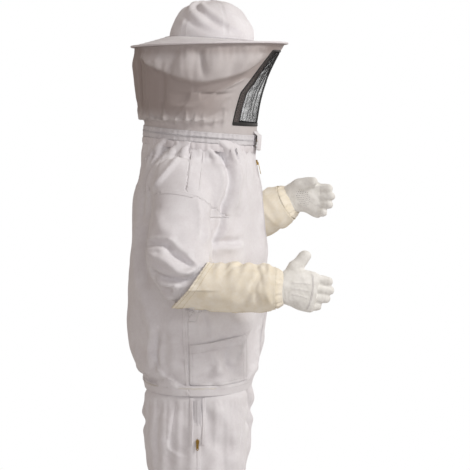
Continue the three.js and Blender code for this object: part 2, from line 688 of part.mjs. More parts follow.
// The hand's body at an inset: a palm and five fingers, in the hand's own frame.
function handBody(palm, inset, thumb) {
  const wrist = WRIST_BAND.narrow - CLOTH - 4 * GAP; // inside the band, with room for the hand's turn
  const stations = [
    [0, wrist - 5, 0.96],
    [HAND.seat, wrist, 1.03],
    [44, HAND.width * 0.96, 1.08],
    [HAND.palm * 0.86, HAND.width, 0.9],
    [HAND.palm + 12, HAND.width * 0.95, 0.72],
  ];
  const rings = stations.map(([x, wide, thick], i) => {
    const away = i === 0 && inset > 0 ? x - 6 : i === stations.length - 1 ? x - inset : x;
    return roundRing(away, HAND.thick * thick - inset, wide - inset);
  });
  let body = filled(rings, 12);
  const radius = HAND.finger - inset;
  const tips = [0.95, 1, 0.96, 0.84];
  tips.forEach((share, i) => {
    const high = HAND.width * (0.72 - 0.48 * i);
    const tip = vec(HAND.length * share - HAND.finger, palm * (8 + 3 * i), high * 1.08 - 2 * i);
    body = body.add(finger(vec(HAND.palm, palm * 1, high), tip, radius));
  });
  const thumbRoot = vec(32, palm * 6, HAND.width * 0.5);
  return body.add(finger(thumbRoot, vec(thumb[0], palm * thumb[1], thumb[2]), HAND.thumb - inset));
}
// A hand that droops from the wrist: each point turns about the seat by an angle that grows along the palm.
function drooped(body, degrees) {
  const geometry = geometryOf(body);
  const places = geometry.attributes.position;
  for (let i = 0; i < places.count; i += 1) {
    const p = vec(places.getX(i), places.getY(i), places.getZ(i));
    const angle = radians(degrees) * THREE.MathUtils.smoothstep(p.x, HAND.seat - 2, HAND.seat + 76);
    const x = p.x - HAND.seat;
    places.setXYZ(i, HAND.seat + x * cos(angle) + p.z * sin(angle), p.y, p.z * cos(angle) - x * sin(angle));
  }
  return solid(geometry);
}
function makeGlove(side) {
  const arm = ARMS[side];
  const palm = side === "right" ? 1 : -1;
  const frame = gloveFrame(arm);
  const radius = SLEEVE.forearm + GAUNTLET.ease;
  const outer = (x) => lerp(radius, GAUNTLET.wrist, THREE.MathUtils.smoothstep(x, -GAUNTLET.taper, 0));
  const long = arm.straight + ELBOW + radius * 1.4;
  const places = [-long, -GAUNTLET.taper, -GAUNTLET.taper * 0.5, 0];
  const wall = (inset, list = places) => list.map((x) => roundRing(x, outer(x) - inset, outer(x) - inset));
  // the mouth slants, so that the gauntlet is longer under the forearm than over it
  const mouthCut = (shift) => {
    const geometry = new THREE.BoxGeometry(REACH, REACH, REACH);
    geometry.translate(-REACH / 2 - shift, 0, 0);
    geometry.rotateY(radians(GAUNTLET.mouth));
    return solid(geometry.translate(-GAUNTLET.long, 0, 0));
  };
  const toLocal = frame.matrixWorld.clone().invert();
  const sleeve = solid(geometryOf(sleeveFilled(arm, GAP)).applyMatrix4(toLocal));
  const trim = (body, shift) => largest(body.subtract(mouthCut(shift)).subtract(sleeve));
  add(`gauntlet_${side}`, trim(tubeWall(wall(0), wall(CLOTH), SLICES.glove), 0), "cream_canvas", frame);
  const ring = wall(CLOTH + GAP);
  const elastic = tubeWall(ring, wall(CLOTH + GAP + TRIM), SLICES.glove).intersect(mouthCut(-17));
  add(`gauntlet_elastic_${side}`, trim(elastic, -5), "elastic", frame);

  const { out, seat, narrow, length } = WRIST_BAND;
  const wide = GAUNTLET.wrist - CLOTH - GAP;
  const band = [out - length, seat, out];
  const bandSize = [wide, wide, narrow];
  const bandWall = (inset) => band.map((x, i) => roundRing(x, bandSize[i] * 0.82 - inset, bandSize[i] - inset));
  add(`wrist_band_${side}`, tubeWall(bandWall(0), bandWall(CLOTH), SLICES.glove), "cream_canvas", frame);

  const hand = new THREE.Group();
  hand.position.set(out - HAND.seat, 0, 0);
  const { turn, droop, thumb } = HAND_LAY[side];
  hand.rotation.z = palm * radians(turn);
  frame.add(hand);
  const leather = largest(handBody(palm, 0, thumb).subtract(handBody(palm, HAND.wall, thumb)));
  add(`glove_hand_${side}`, drooped(leather, droop), "goat_leather", hand);
}
// How each hand lies: its turn in from the forearm, its droop at the wrist, and its thumb's tip.
const HAND_LAY = {
  right: { turn: 9, droop: 9, thumb: [62, 12, 84] },
  left: { turn: 7, droop: 27, thumb: [86, 24, 52] },
};

// ---- trousers ----
const hem = -JACKET.length;
const crotch = hem - HIP.drop;
const knee = (crotch + LEG.floor) / 2 + LEG.kneeUp;
const legCentre = Math.max(LEG.half + LEG.apart, JACKET.hemWidth - 1.5 - LEG.half);
const legHalf = profile([
  [crotch, LEG.half],
  [crotch - 136, LEG.half],
  [knee, LEG.half - 4],
  [knee - 220, LEG.half - 10],
  [LEG.floor + 66, LEG.half - 16],
  [LEG.floor + 24, LEG.cuff],
  [LEG.floor, LEG.cuff],
]);
const legDepth = profile([
  [crotch, LEG.thigh],
  [crotch - 96, LEG.thigh - 2],
  [knee, LEG.knee],
  [knee - 220, LEG.calf + 4],
  [LEG.floor + 66, LEG.calf],
  [LEG.floor + 24, LEG.cuff],
  [LEG.floor, LEG.cuff],
]);
const legHeights = [
  ...[hem - 5, hem - 75, hem - 155, knee, knee - 130, knee - 270],
  ...[66, 44, 24, 0].map((up) => LEG.floor + up),
];
const legRing = (place, z, inset, at = z) =>
  ovalRing(place * legCentre, 4 * (1 - THREE.MathUtils.smoothstep(hem - z, 5, 255)), at, legHalf(z) - inset, legDepth(z) - inset);
const hemInset = CLOTH + GAP + TRIM + GAP + TRIM + 0.5;
function hipRing(z, inset, at = z) {
  const share = THREE.MathUtils.smoothstep(z, hem + 5, HIP.waist);
  const middle = (JACKET.hemBack + arcY(hem)) / 2;
  const level = Math.max(z, hem);
  const room = Math.min(jacketBack(level) - middle, middle - arcY(level)) - hemInset;
  const wide = Math.min(lerp(JACKET.hemWidth - hemInset, HIP.waistWidth, share), jacketWidth(level) - hemInset);
  const deep = Math.min(lerp((JACKET.hemBack - arcY(hem)) / 2 - hemInset, HIP.waistDepth, share), room);
  return ovalRing(0, middle, at, wide - inset, deep - inset, 2.35);
}
const hipHeights = [HIP.waist, HIP.waist - HIP.band, hem + 165, hem + 85, hem + 5, crotch, crotch - 16];
function trouserBody(inset, over) {
  const hips = hipHeights.map((z, i) => hipRing(z, inset + (i > 5 ? 24 : 0), i === 0 ? z + over : z));
  let body = filled(hips, SLICES.body);
  for (const place of [-1, 1]) {
    const rings = legHeights.map((z, i) => legRing(place, z, inset, i === legHeights.length - 1 ? z - over : z));
    body = body.add(filled(rings, SLICES.leg));
  }
  return body;
}
function makeTrousers() {
  const shell = trouserBody(0, 0).subtract(trouserBody(CLOTH, 10));
  for (const [side, place] of Object.entries({ left: 1, right: -1 })) {
    const [from, to] = place > 0 ? [GAP / 2, REACH] : [-REACH, -GAP / 2];
    const keep = block(vec(from, -REACH, -2 * REACH), vec(to, REACH, REACH));
    add(`trouser_leg_${side}`, largest(shell.intersect(keep)), "white_cotton");
    const cuff = [LEG.floor + 22, LEG.floor + 4];
    const ring = (inset) => cuff.map((z) => legRing(place, z, inset));
    add(`ankle_elastic_${side}`, tubeWall(ring(CLOTH + GAP), ring(CLOTH + GAP + TRIM), SLICES.leg), "elastic");
  }
  const band = [HIP.waist, HIP.waist - HIP.band];
  const ring = (inset, list = band) => list.map((z) => hipRing(z, inset));
  add("waistband", tubeWall(ring(-GAP - TRIM), ring(-GAP), SLICES.body), "white_cotton");
  const elastic = [HIP.waist - 4, HIP.waist - HIP.band + 4];
  add("waist_elastic", tubeWall(ring(CLOTH + GAP, elastic), ring(CLOTH + GAP + TRIM, elastic), SLICES.body), "elastic");
  for (const [side, place] of Object.entries({ left: 1, right: -1 })) makeSideZip(side, place);
}

// The side opening of a trouser leg: a taped zip on the outer seam, its slider, and the pocket bag behind it.
function makeSideZip(side, place) {
  const { y, tape } = SIDE_ZIP;
  const top = hem - SIDE_ZIP.below;
  const bottom = top - SIDE_ZIP.length;
  const face = legCentre + LEG.half + GAP;
  const span = (a, b) => (place > 0 ? [a, b] : [-b, -a]);
  const [low, high] = span(face, face + TRIM);
  const [toothLow, toothHigh] = span(face, face + TRIM + 1.4);
  const strip = block(vec(low, y - tape, bottom), vec(high, y + tape, top));
  const teeth = block(vec(toothLow, y - 2.2, bottom), vec(toothHigh, y + 2.2, top));
  add(`side_zip_tape_${side}`, strip.add(teeth), "zip_tape");
  const basis = new THREE.Matrix4().makeBasis(vec(0, place, 0), vec(0, 0, 1), vec(place, 0, 0));
  const out = face + TRIM + 1.4 + GAP;
  const seat = new THREE.Group();
  seat.position.set(place * out, y, bottom + SLIDER.length / 2 + 2);
  seat.setRotationFromMatrix(basis);
  suit.add(seat);
  add(`side_zip_slider_${side}`, solid(sliderBody(SLIDER.height, SLIDER.length, SLIDER.thick)), "zip_metal", seat);
  const hang = new THREE.Group();
  hang.position.set(place * (out + SLIDER.thick + 0.4), y, bottom + SLIDER.length / 2 + 2);
  hang.setRotationFromMatrix(basis);
  suit.add(hang);
  const tab = pullTab(SLIDER.pullWide, SLIDER.pullLength, SLIDER.pullThick);
  add(`side_zip_pull_${side}`, solid(tab), "zip_metal", hang);
  const bagHeights = [hem - 5, hem - 75, hem - 155];
  const shell = tubeWall(
    bagHeights.map((z) => legRing(place, z, -GAP - CLOTH)),
    bagHeights.map((z) => legRing(place, z, -GAP)),
    SLICES.leg,
  );
  const start = y + tape + 1;
  const outline = [
    [start, top],
    [start + 46, top],
    [start + 50, bottom + 50],
    [start + 40, bottom + 14],
    [start + 20, bottom + 2],
    [start, bottom + 2],
  ];
  const half = place > 0 ? [legCentre, REACH] : [-REACH, -legCentre];
  const leg = filled(bagHeights.map((z) => legRing(place, z, -GAP)), SLICES.leg);
  add(`side_pocket_${side}`, largest(shell.intersect(prism(outline, "x", ...half)).subtract(leg)), "white_cotton");
}

makeHat();
makeVeil();
makeNeckZip();
makeJacket();
makeFrontZip();
makeGlove("left");
makeGlove("right");
makeTrousers();

export default suit;
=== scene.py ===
"""Beekeeping suit: the finished cloth, net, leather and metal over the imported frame.

Metres, +Z up, the wearer faces -Y and the wearer's left is +X. The origin is the centre of the neck zip ring.
"""

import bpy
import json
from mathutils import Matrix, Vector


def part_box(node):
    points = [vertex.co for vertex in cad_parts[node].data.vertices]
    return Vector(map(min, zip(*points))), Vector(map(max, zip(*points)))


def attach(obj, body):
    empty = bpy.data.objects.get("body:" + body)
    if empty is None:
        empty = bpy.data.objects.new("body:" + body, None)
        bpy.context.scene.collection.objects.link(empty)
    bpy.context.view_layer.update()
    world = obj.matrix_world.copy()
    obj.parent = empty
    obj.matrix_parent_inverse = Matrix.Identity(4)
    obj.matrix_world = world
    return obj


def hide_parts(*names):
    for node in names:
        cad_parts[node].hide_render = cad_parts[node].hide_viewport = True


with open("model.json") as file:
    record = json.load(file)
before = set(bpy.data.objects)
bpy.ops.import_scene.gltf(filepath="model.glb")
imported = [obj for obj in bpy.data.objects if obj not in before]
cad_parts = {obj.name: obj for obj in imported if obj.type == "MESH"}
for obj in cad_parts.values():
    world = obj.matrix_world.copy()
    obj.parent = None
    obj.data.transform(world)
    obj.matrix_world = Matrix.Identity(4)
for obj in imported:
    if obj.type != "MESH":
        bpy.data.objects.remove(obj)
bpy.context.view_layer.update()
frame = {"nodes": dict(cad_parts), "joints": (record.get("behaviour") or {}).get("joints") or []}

import json
import logging
import math
from dataclasses import dataclass, field
from enum import Enum
from typing import Callable, Sequence

import bmesh
import bpy
import numpy as np
from mathutils import Vector
from mathutils.bvhtree import BVHTree

LOG = logging.getLogger("suit")
MM = 0.001
Array = np.ndarray


# ---------------------------------------------------------------- numbers


def smooth(x: Array, low: float, high: float) -> Array:
    """A smooth step: 0 below low, 1 above high, and 3t^2 - 2t^3 between."""
    t = np.clip((np.asarray(x, float) - low) / (high - low), 0, 1)
    return t * t * (3 - 2 * t)


def unit(v: Array) -> Array:
    """Vectors divided by their lengths."""
    return v / np.maximum(np.linalg.norm(v, axis=-1, keepdims=True), 1e-12)


def flow(points: Sequence[Sequence[float]], count: int = 81) -> Array:
    """A Catmull-Rom curve through points: each span is the cubic whose end slopes are half the chord of the
    neighbours.

    Args:
        points: the points it passes through, of any dimension.
        count: how many samples to return.

    Returns:
        The samples, evenly spaced in the points' index.
    """
    p = np.asarray(points, float)
    t = np.linspace(0, len(p) - 1, count)
    i = np.clip(np.floor(t).astype(int), 0, len(p) - 2)
    w = (t - i)[:, None]
    a, b, c, d = p[np.maximum(i - 1, 0)], p[i], p[i + 1], p[np.minimum(i + 2, len(p) - 1)]
    va, vb = (c - a) / 2, (d - b) / 2
    return (2 * b - 2 * c + va + vb) * w**3 + (3 * c - 3 * b - 2 * va - vb) * w**2 + va * w + b


def profile(points: Sequence[Sequence[float]]) -> Callable[[Array], Array]:
    """A size as a function of height, from (height, size) knots in millimetres that go downwards."""
    curve = flow(points)
    return lambda z: np.interp(-np.asarray(z, float), -curve[:, 0] * MM, curve[:, 1] * MM)


def ripple(p: Array, seed: int, size: float) -> Array:
    """Soft noise: the mean of nine plane waves with seeded directions and phases, about size metres long.

    Args:
        p: the points.
        seed: the generator's seed.
        size: the wavelength in metres.

    Returns:
        One value a point, mostly between -1 and 1.
    """
    rng = np.random.default_rng(seed)
    waves = unit(rng.normal(size=(9, 3))) * (2 * np.pi / size) * rng.uniform(0.6, 1.5, (9, 1))
    return np.sin(p @ waves.T + rng.uniform(0, 2 * np.pi, 9)).sum(-1) / 3


def even(rows: Array, as_normals: bool = False) -> Array:
    """Rows averaged with their neighbours over seven places, so that a laid tape has no kinks; the ends stay."""
    if len(rows) < 9:
        return rows
    padded = np.concatenate([np.repeat(rows[:1], 3, 0), rows, np.repeat(rows[-1:], 3, 0)])
    mean = np.mean([padded[k : k + len(rows)] for k in range(7)], 0)
    mean = (
        rows
        + (mean - rows) * smooth(
            np.minimum(np.arange(len(rows)), np.arange(len(rows))[::-1]), -1, 3
        )[:, None]
    )
    return unit(mean) if as_normals else mean


def along(points: Array, step: float) -> Array:
    """A polyline resampled at an even step in metres."""
    points = np.asarray(points, float)
    gone = np.concatenate([[0], np.cumsum(np.linalg.norm(np.diff(points, axis=0), axis=1))])
    at = np.linspace(0, gone[-1], max(int(gone[-1] / step), 2) + 1)
    return np.stack([np.interp(at, gone, points[:, k]) for k in range(points.shape[1])], 1)


def circle(count: int) -> Array:
    """Even angles once round; the last one stops short of the first."""
    return np.linspace(0, 2 * np.pi, count, endpoint=False)


def spokes(turn: Array) -> Array:
    """The level directions at angles about a vertical axis."""
    return np.stack([np.cos(turn), np.sin(turn), 0 * turn], -1)


# ---------------------------------------------------------------- finishes


def linear(colour: str) -> tuple[float, float, float, float]:
    """An sRGB hex colour as linear RGBA: each channel c becomes ((c + 0.055) / 1.055)^2.4, or c / 12.92 when dark."""
    parts = [int(colour[i : i + 2], 16) / 255 for i in (1, 3, 5)]
    red, green, blue = (c / 12.92 if c <= 0.04045 else ((c + 0.055) / 1.055) ** 2.4 for c in parts)
    return red, green, blue, 1.0


class Pattern(Enum):
    """How a surface was made, which sets its fine relief."""

    TWILL = "twill"
    PLAIN = "plain weave"
    RIB = "rib"
    GRAIN = "leather grain"
    SMOOTH = "smooth"


@dataclass(frozen=True)
class Finish:
    """A finish: what the real surface is and the numbers that show it.

    Attributes:
        name: the material's name.
        colour: the main sRGB colour.
        shade: the sRGB colour in its worn or thinner places.
        pattern: the fine relief.
        pitch: thread, rib or grain spacing in metres.
        relief: the bump's height in metres.
        roughness: the mean roughness.
        sheen: the cloth sheen's weight.
        metallic: 1 for bare metal.
        cloud: the size in metres of its soft colour changes.
        painted_shade_colour: the sRGB colour of painted shade, mixed in where the veil's painted-shade point value is
            1. It stands for the dark inside seen through the cloth and the shadows under the brim and swag.
        glow: the share of light that passes through it.
    """

    name: str
    colour: str
    shade: str
    pattern: Pattern
    pitch: float
    relief: float
    roughness: float
    sheen: float = 0.0
    metallic: float = 0.0
    cloud: float = 0.05
    # painted shade: an optional darker colour, mixed in where the piece's painted-shade point value is 1
    painted_shade_colour: str = ""
    glow: float = 0.0


# Poly-cotton twill, washed and creased: a soft matt white whose diagonal rib only shows close up.
TWILL = Finish("cotton_twill", "#EDECEE", "#E1DEE0", Pattern.TWILL, 1.3 * MM, 0.10 * MM, 0.88, 0.25)
# The veil's lighter cotton: the same white, thinner, so it looks a little warmer. Its darker second colour is painted
# shade, for the dark inside seen through the cloth and the shadow under the brim.
LAWN = Finish(
    "veil_cotton", "#EEEAE9", "#E2DCDA", Pattern.TWILL, 1.2 * MM, 0.08 * MM, 0.9, 0.3, painted_shade_colour="#BDB1AC",
    glow=0.35,
)
# Bias tape folded over raw edges: flatter and a shade brighter than the cloth.
TAPE = Finish("cotton_tape", "#EAE7E9", "#DDD9DB", Pattern.RIB, 1.4 * MM, 0.12 * MM, 0.8, 0.15)
# Unbleached cotton canvas: cream, with slubs that catch the light.
CANVAS = Finish(
    "cream_canvas", "#FAF4E4", "#EFE5CC", Pattern.PLAIN, 1.5 * MM, 0.16 * MM, 0.92, 0.2, cloud=0.03
)
# Soft goatskin, drum dyed white: fine pebbled grain with a faint gloss on its high places.
GOAT = Finish(
    "goat_leather", "#F4F4EF", "#E2E1DA", Pattern.GRAIN, 1.6 * MM, 0.14 * MM, 0.55, 0.05, cloud=0.02
)
# Black polyester net and its edge tape: nearly no reflection.
NET = Finish("black_net", "#2B2B2C", "#1B1B1C", Pattern.SMOOTH, 1.0 * MM, 0.0, 0.75)
NET_TAPE = Finish("black_tape", "#262626", "#171717", Pattern.RIB, 1.2 * MM, 0.12 * MM, 0.8, 0.2)
# Woven elastic: close ribs across its length.
ELASTIC = Finish("woven_elastic", "#E9E6E0", "#D8D4CC", Pattern.RIB, 1.8 * MM, 0.3 * MM, 0.8, 0.1)
# Bare spring steel wire, drawn: a narrow grey glint.
STEEL = Finish("spring_steel", "#B4B7BB", "#8D9094", Pattern.SMOOTH, 1.0 * MM, 0.02 * MM, 0.32, metallic=1.0)
# Die-cast brass sliders: dulled yellow with brighter rubbed edges.
BRASS = Finish("slider_brass", "#C9A860", "#8E7038", Pattern.SMOOTH, 0.8 * MM, 0.02 * MM, 0.36, metallic=1.0)
# Zip tape: tight ribbed polyester.
ZIP = Finish("zip_tape", "#E5E4E6", "#D6D4D7", Pattern.RIB, 1.1 * MM, 0.12 * MM, 0.75, 0.1)
# Spun polyester thread: twisted, a little glossier than the cloth.
THREAD = Finish("white_thread", "#EFEDEE", "#DDD9DA", Pattern.RIB, 0.5 * MM, 0.05 * MM, 0.6, 0.1)
CREAM_THREAD = Finish("cream_thread", "#E3D6B2", "#CDBE95", Pattern.RIB, 0.5 * MM, 0.05 * MM, 0.65, 0.1)
DARK = Finish("vent_shadow", "#4A4641", "#3A3733", Pattern.SMOOTH, 1.0 * MM, 0.0, 0.9)


class Dresser:
    """Makes each finish's material once and puts it on pieces."""

    def __init__(self) -> None:
        """Starts with no materials."""
        self.made: dict[str, bpy.types.Material] = {}

    @staticmethod
    def node(
        tree: bpy.types.NodeTree, kind: str, settings: dict | None = None, **links: object
    ) -> bpy.types.Node:
        """Adds a node to a tree.

        Args:
            tree: the material's node tree.
            kind: the node's type name.
            settings: attributes, and input values by socket name.
            links: input sockets by name, with _ for a space, each given the output that feeds it.

        Returns:
            The new node.
        """
        made = tree.nodes.new(kind)
        for key, value in (settings or {}).items():
            if hasattr(made, key):
                setattr(made, key, value)
            else:
                made.inputs[int(key) if key.isdigit() else key].default_value = value
        for key, output in links.items():
            name = key.replace("_", " ").strip()
            tree.links.new(output, made.inputs[int(name) if name.isdigit() else name])
        return made

    def relief(
        self, tree: bpy.types.NodeTree, finish: Finish, place: bpy.types.NodeSocket
    ) -> bpy.types.NodeSocket | None:
        """The fine height pattern of a finish, from Object coordinates.

        A diagonal wave repeats every 0.628 / scale metres of x + y + z, and a straight one every 0.314 / scale.

        Returns:
            The height's socket, or None for a smooth finish.
        """
        n = self.node
        if finish.pattern is Pattern.TWILL:
            wave = {
                "bands_direction": "DIAGONAL",
                "Scale": 0.444 / finish.pitch,
                "Distortion": 0.4,
                "Detail": 1.0,
            }
            return n(tree, "ShaderNodeTexWave", wave, Vector=place).outputs["Fac"]
        if finish.pattern is Pattern.RIB:
            wave = {"bands_direction": "DIAGONAL", "Scale": 0.628 / finish.pitch, "Distortion": 0.2}
            return n(tree, "ShaderNodeTexWave", wave, Vector=place).outputs["Fac"]
        if finish.pattern is Pattern.PLAIN:
            waves = [
                n(
                    tree,
                    "ShaderNodeTexWave",
                    {"bands_direction": way, "Scale": 0.314 / finish.pitch, "Distortion": 1.2},
                    Vector=place,
                )
                for way in ("Y", "Z")
            ]
            both = {"operation": "ADD"}
            return n(
                tree, "ShaderNodeMath", both, **{"0": waves[0].outputs["Fac"], "1": waves[1].outputs["Fac"]}
            ).outputs[0]
        if finish.pattern is Pattern.GRAIN:
            cells = {"feature": "DISTANCE_TO_EDGE", "Scale": 1 / finish.pitch}
            return n(tree, "ShaderNodeTexVoronoi", cells, Vector=place).outputs["Distance"]
        return None

    def material(self, finish: Finish) -> bpy.types.Material:
        """The finish's material, made once.

        Soft noise moves the colour between the finish's two colours and the roughness by a tenth either way.
        """
        if finish.name in self.made:
            return self.made[finish.name]
        made = bpy.data.materials.new(finish.name)
        made.use_nodes = True
        tree = made.node_tree
        tree.nodes.clear()
        n = self.node
        place = n(tree, "ShaderNodeTexCoord").outputs["Object"]
        broad = n(
            tree,
            "ShaderNodeTexNoise",
            {"Scale": 1 / finish.cloud, "Detail": 4.0, "Roughness": 0.6},
            Vector=place,
        )
        fine = n(tree, "ShaderNodeTexNoise", {"Scale": 0.25 / finish.pitch, "Detail": 2.0}, Vector=place)
        mixed = n(
            tree,
            "ShaderNodeMath",
            {"operation": "MULTIPLY_ADD", "1": 0.35},
            **{"0": fine.outputs["Fac"], "2": broad.outputs["Fac"]},
        )
        spread = n(tree, "ShaderNodeMapRange", {"From Min": 0.5, "From Max": 0.95}, Value=mixed.outputs[0])
        ramp = n(tree, "ShaderNodeValToRGB", None, Fac=spread.outputs[0])
        ramp.color_ramp.elements[0].color = linear(finish.colour)
        ramp.color_ramp.elements[1].color = linear(finish.shade)
        rough = n(
            tree,
            "ShaderNodeMapRange",
            {"To Min": max(finish.roughness - 0.1, 0.05), "To Max": min(finish.roughness + 0.1, 1.0)},
            Value=broad.outputs["Fac"],
        )
        colour = ramp.outputs["Color"]
        # painted shade: as the piece's painted-shade point value rises to 1, the colour is mixed to the darker
        # painted-shade colour
        if finish.painted_shade_colour:
            value = n(tree, "ShaderNodeAttribute", {"attribute_name": "painted_shade"}).outputs["Fac"]
            through = n(tree, "ShaderNodeMix", {"data_type": "RGBA", "7": linear(finish.painted_shade_colour)})
            tree.links.new(value, through.inputs[0])
            tree.links.new(colour, through.inputs[6])
            colour = through.outputs[2]
        height = self.relief(tree, finish, place) or fine.outputs["Fac"]
        bump = n(
            tree,
            "ShaderNodeBump",
            {"Strength": 0.6, "Distance": max(finish.relief, 0.01 * MM)},
            Height=height,
        )
        shader = n(
            tree,
            "ShaderNodeBsdfPrincipled",
            {"Metallic": finish.metallic, "Sheen Weight": finish.sheen, "Sheen Roughness": 0.5},
            Base_Color=colour,
            Roughness=rough.outputs[0],
            Normal=bump.outputs["Normal"],
        )
        surface = shader.outputs[0]
        if finish.glow:
            inside = n(
                tree,
                "ShaderNodeBsdfTranslucent",
                {"Color": linear(finish.colour)},
                Normal=bump.outputs["Normal"],
            )
            both = n(tree, "ShaderNodeMixShader", {"0": finish.glow})
            tree.links.new(surface, both.inputs[1])
            tree.links.new(inside.outputs[0], both.inputs[2])
            surface = both.outputs[0]
        n(tree, "ShaderNodeOutputMaterial", None, Surface=surface)
        self.made[finish.name] = made
        return made

    def dress(self, piece: bpy.types.Object, finish: Finish) -> None:
        """Gives a piece one finish."""
        piece.data.materials.clear()
        piece.data.materials.append(self.material(finish))


DRESS = Dresser()


# ---------------------------------------------------------------- meshes


def raw_mesh(name: str, points: Array, faces: Array | list) -> bpy.types.Object:
    """A mesh object at the origin from points and faces."""
    mesh = bpy.data.meshes.new(name)
    mesh.from_pydata(
        np.asarray(points, float).reshape(-1, 3), [], faces if isinstance(faces, list) else faces.tolist()
    )
    mesh.update()
    piece = bpy.data.objects.new(name, mesh)
    bpy.context.scene.collection.objects.link(piece)
    return piece


def grid_faces(rows: int, columns: int, round_rows: bool = False, round_columns: bool = False) -> Array:
    """The quads of a grid of rows by columns points, closed round either way if asked."""
    r = np.arange(rows if round_rows else rows - 1)[:, None]
    c = np.arange(columns if round_columns else columns - 1)[None, :]
    r2, c2 = (r + 1) % rows, (c + 1) % columns
    corners = [r * columns + c, r * columns + c2, r2 * columns + c2, r2 * columns + c]
    return np.stack(np.broadcast_arrays(*corners), -1).reshape(-1, 4)


def tidy(piece: bpy.types.Object, shade: bool = True) -> bpy.types.Object:
    """Merges doubled points, turns the faces outwards and shades them smooth."""
    work = bmesh.new()
    work.from_mesh(piece.data)
    bmesh.ops.remove_doubles(work, verts=work.verts, dist=1e-6)
    bmesh.ops.recalc_face_normals(work, faces=work.faces)
    work.to_mesh(piece.data)
    work.free()
    if shade:
        piece.data.shade_smooth()
    return piece


def ring_wall(name: str, outer: Array, inner: Array) -> bpy.types.Object:
    """A closed wall: outer rings one way and inner rings back, joined at both rims.

    Args:
        name: the piece's name.
        outer: rings by sides by 3 points of the outer face.
        inner: the same of the inner face.
    """
    loop = np.concatenate([outer, inner[::-1]])
    rows, sides = loop.shape[:2]
    return tidy(raw_mesh(name, loop, grid_faces(rows, sides, True, True)))


def double_sheet(name: str, outer: Array, inner: Array) -> bpy.types.Object:
    """A closed sheet: an outer and an inner grid of points, joined round all four edges."""
    rows, columns = outer.shape[:2]
    count = rows * columns
    quads = grid_faces(rows, columns)
    right, left = columns - 1 + columns * np.arange(1, rows), columns * np.arange(rows - 2, 0, -1)
    rim = np.concatenate(
        [np.arange(columns), right, (rows - 1) * columns + np.arange(columns - 2, -1, -1), left]
    )
    step = np.roll(rim, -1)
    sides = np.stack([rim, step, step + count, rim + count], 1)
    points = np.concatenate([outer.reshape(-1, 3), inner.reshape(-1, 3)])
    return tidy(raw_mesh(name, points, np.concatenate([quads, quads[:, ::-1] + count, sides])))


def closed_tube(rings: Array, start: int = 0) -> tuple[Array, list]:
    """Points and faces of a filled tube: the rings' quads and a flat cap at each end."""
    rows, sides = rings.shape[:2]
    faces = (grid_faces(rows, sides, False, True) + start).tolist()
    faces.append((start + np.arange(sides)[::-1]).tolist())
    faces.append((start + (rows - 1) * sides + np.arange(sides)).tolist())
    return rings.reshape(-1, 3), faces


def points_of(piece: bpy.types.Object) -> Array:
    """A mesh's points as an array."""
    flat = np.empty(len(piece.data.vertices) * 3)
    piece.data.vertices.foreach_get("co", flat)
    return flat.reshape(-1, 3)


def normals_of(piece: bpy.types.Object) -> Array:
    """A mesh's point normals as an array."""
    flat = np.empty(len(piece.data.vertices) * 3)
    piece.data.vertex_normals.foreach_get("vector", flat)
    return flat.reshape(-1, 3)


def set_points(piece: bpy.types.Object, points: Array) -> None:
    """Writes a mesh's points."""
    piece.data.vertices.foreach_set("co", np.asarray(points, np.float32).ravel())
    piece.data.update()


def apply_modifiers(piece: bpy.types.Object) -> None:
    """Replaces a piece's mesh by the result of its modifiers."""
    graph = bpy.context.evaluated_depsgraph_get()
    made = bpy.data.meshes.new_from_object(piece.evaluated_get(graph))
    piece.modifiers.clear()
    old, piece.data = piece.data, made
    bpy.data.meshes.remove(old)


def melt(name: str, tubes: Sequence[Array], voxel: float, passes: int) -> bpy.types.Object:
    """One skin round several filled tubes: they are joined on a voxel grid and the skin is then relaxed.

    Args:
        name: the piece's name.
        tubes: each rings by sides by 3.
        voxel: the grid's cell in metres.
        passes: how many times each point moves half way to its neighbours' mean.
    """
    points, faces, count = [], [], 0
    for rings in tubes:
        p, f = closed_tube(rings, count)
        points.append(p)
        faces += f
        count += len(p)
    piece = tidy(raw_mesh(name, np.concatenate(points), faces))
    remesh = piece.modifiers.new("skin", "REMESH")
    remesh.mode = "VOXEL"
    remesh.voxel_size = voxel
    apply_modifiers(piece)
    relax(piece, passes)
    return piece


def relax(piece: bpy.types.Object, passes: int, share: float = 0.5) -> None:
    """Moves each point a share of the way to the mean of its neighbours, over and over."""
    edges = np.empty(len(piece.data.edges) * 2, int)
    piece.data.edges.foreach_get("vertices", edges)
    a, b = edges.reshape(-1, 2).T
    p = points_of(piece)
    count = np.bincount(np.concatenate([a, b]), minlength=len(p))[:, None]
    for _ in range(passes):
        total = np.zeros_like(p)
        np.add.at(total, a, p[b])
        np.add.at(total, b, p[a])
        p = p + share * (total / np.maximum(count, 1) - p)
    set_points(piece, p)


def cut(
    piece: bpy.types.Object, point: Array, normal: Array, near: Callable[[Array], Array] | None = None
) -> None:
    """Cuts away what lies on the normal's side of a plane.

    Args:
        piece: the mesh to cut.
        point: a point on the plane.
        normal: points to the side that goes.
        near: tells which face centres the cut may touch; all of them if None.
    """
    work = bmesh.new()
    work.from_mesh(piece.data)
    faces = list(work.faces)
    if near is not None:
        keep = near(np.array([f.calc_center_median() for f in faces]))
        faces = [f for f, k in zip(faces, keep) if k]
    geometry = list({v for f in faces for v in f.verts} | {e for f in faces for e in f.edges}) + faces
    bmesh.ops.bisect_plane(
        work, geom=geometry, plane_co=Vector(point), plane_no=Vector(normal), clear_outer=near is None
    )
    if near is not None:
        centres = np.array([f.calc_center_median() for f in work.faces])
        gone = near(centres) & ((centres - np.asarray(point)) @ np.asarray(normal) > 0)
        bmesh.ops.delete(work, geom=[f for f, g in zip(list(work.faces), gone) if g], context="FACES")
    work.to_mesh(piece.data)
    work.free()


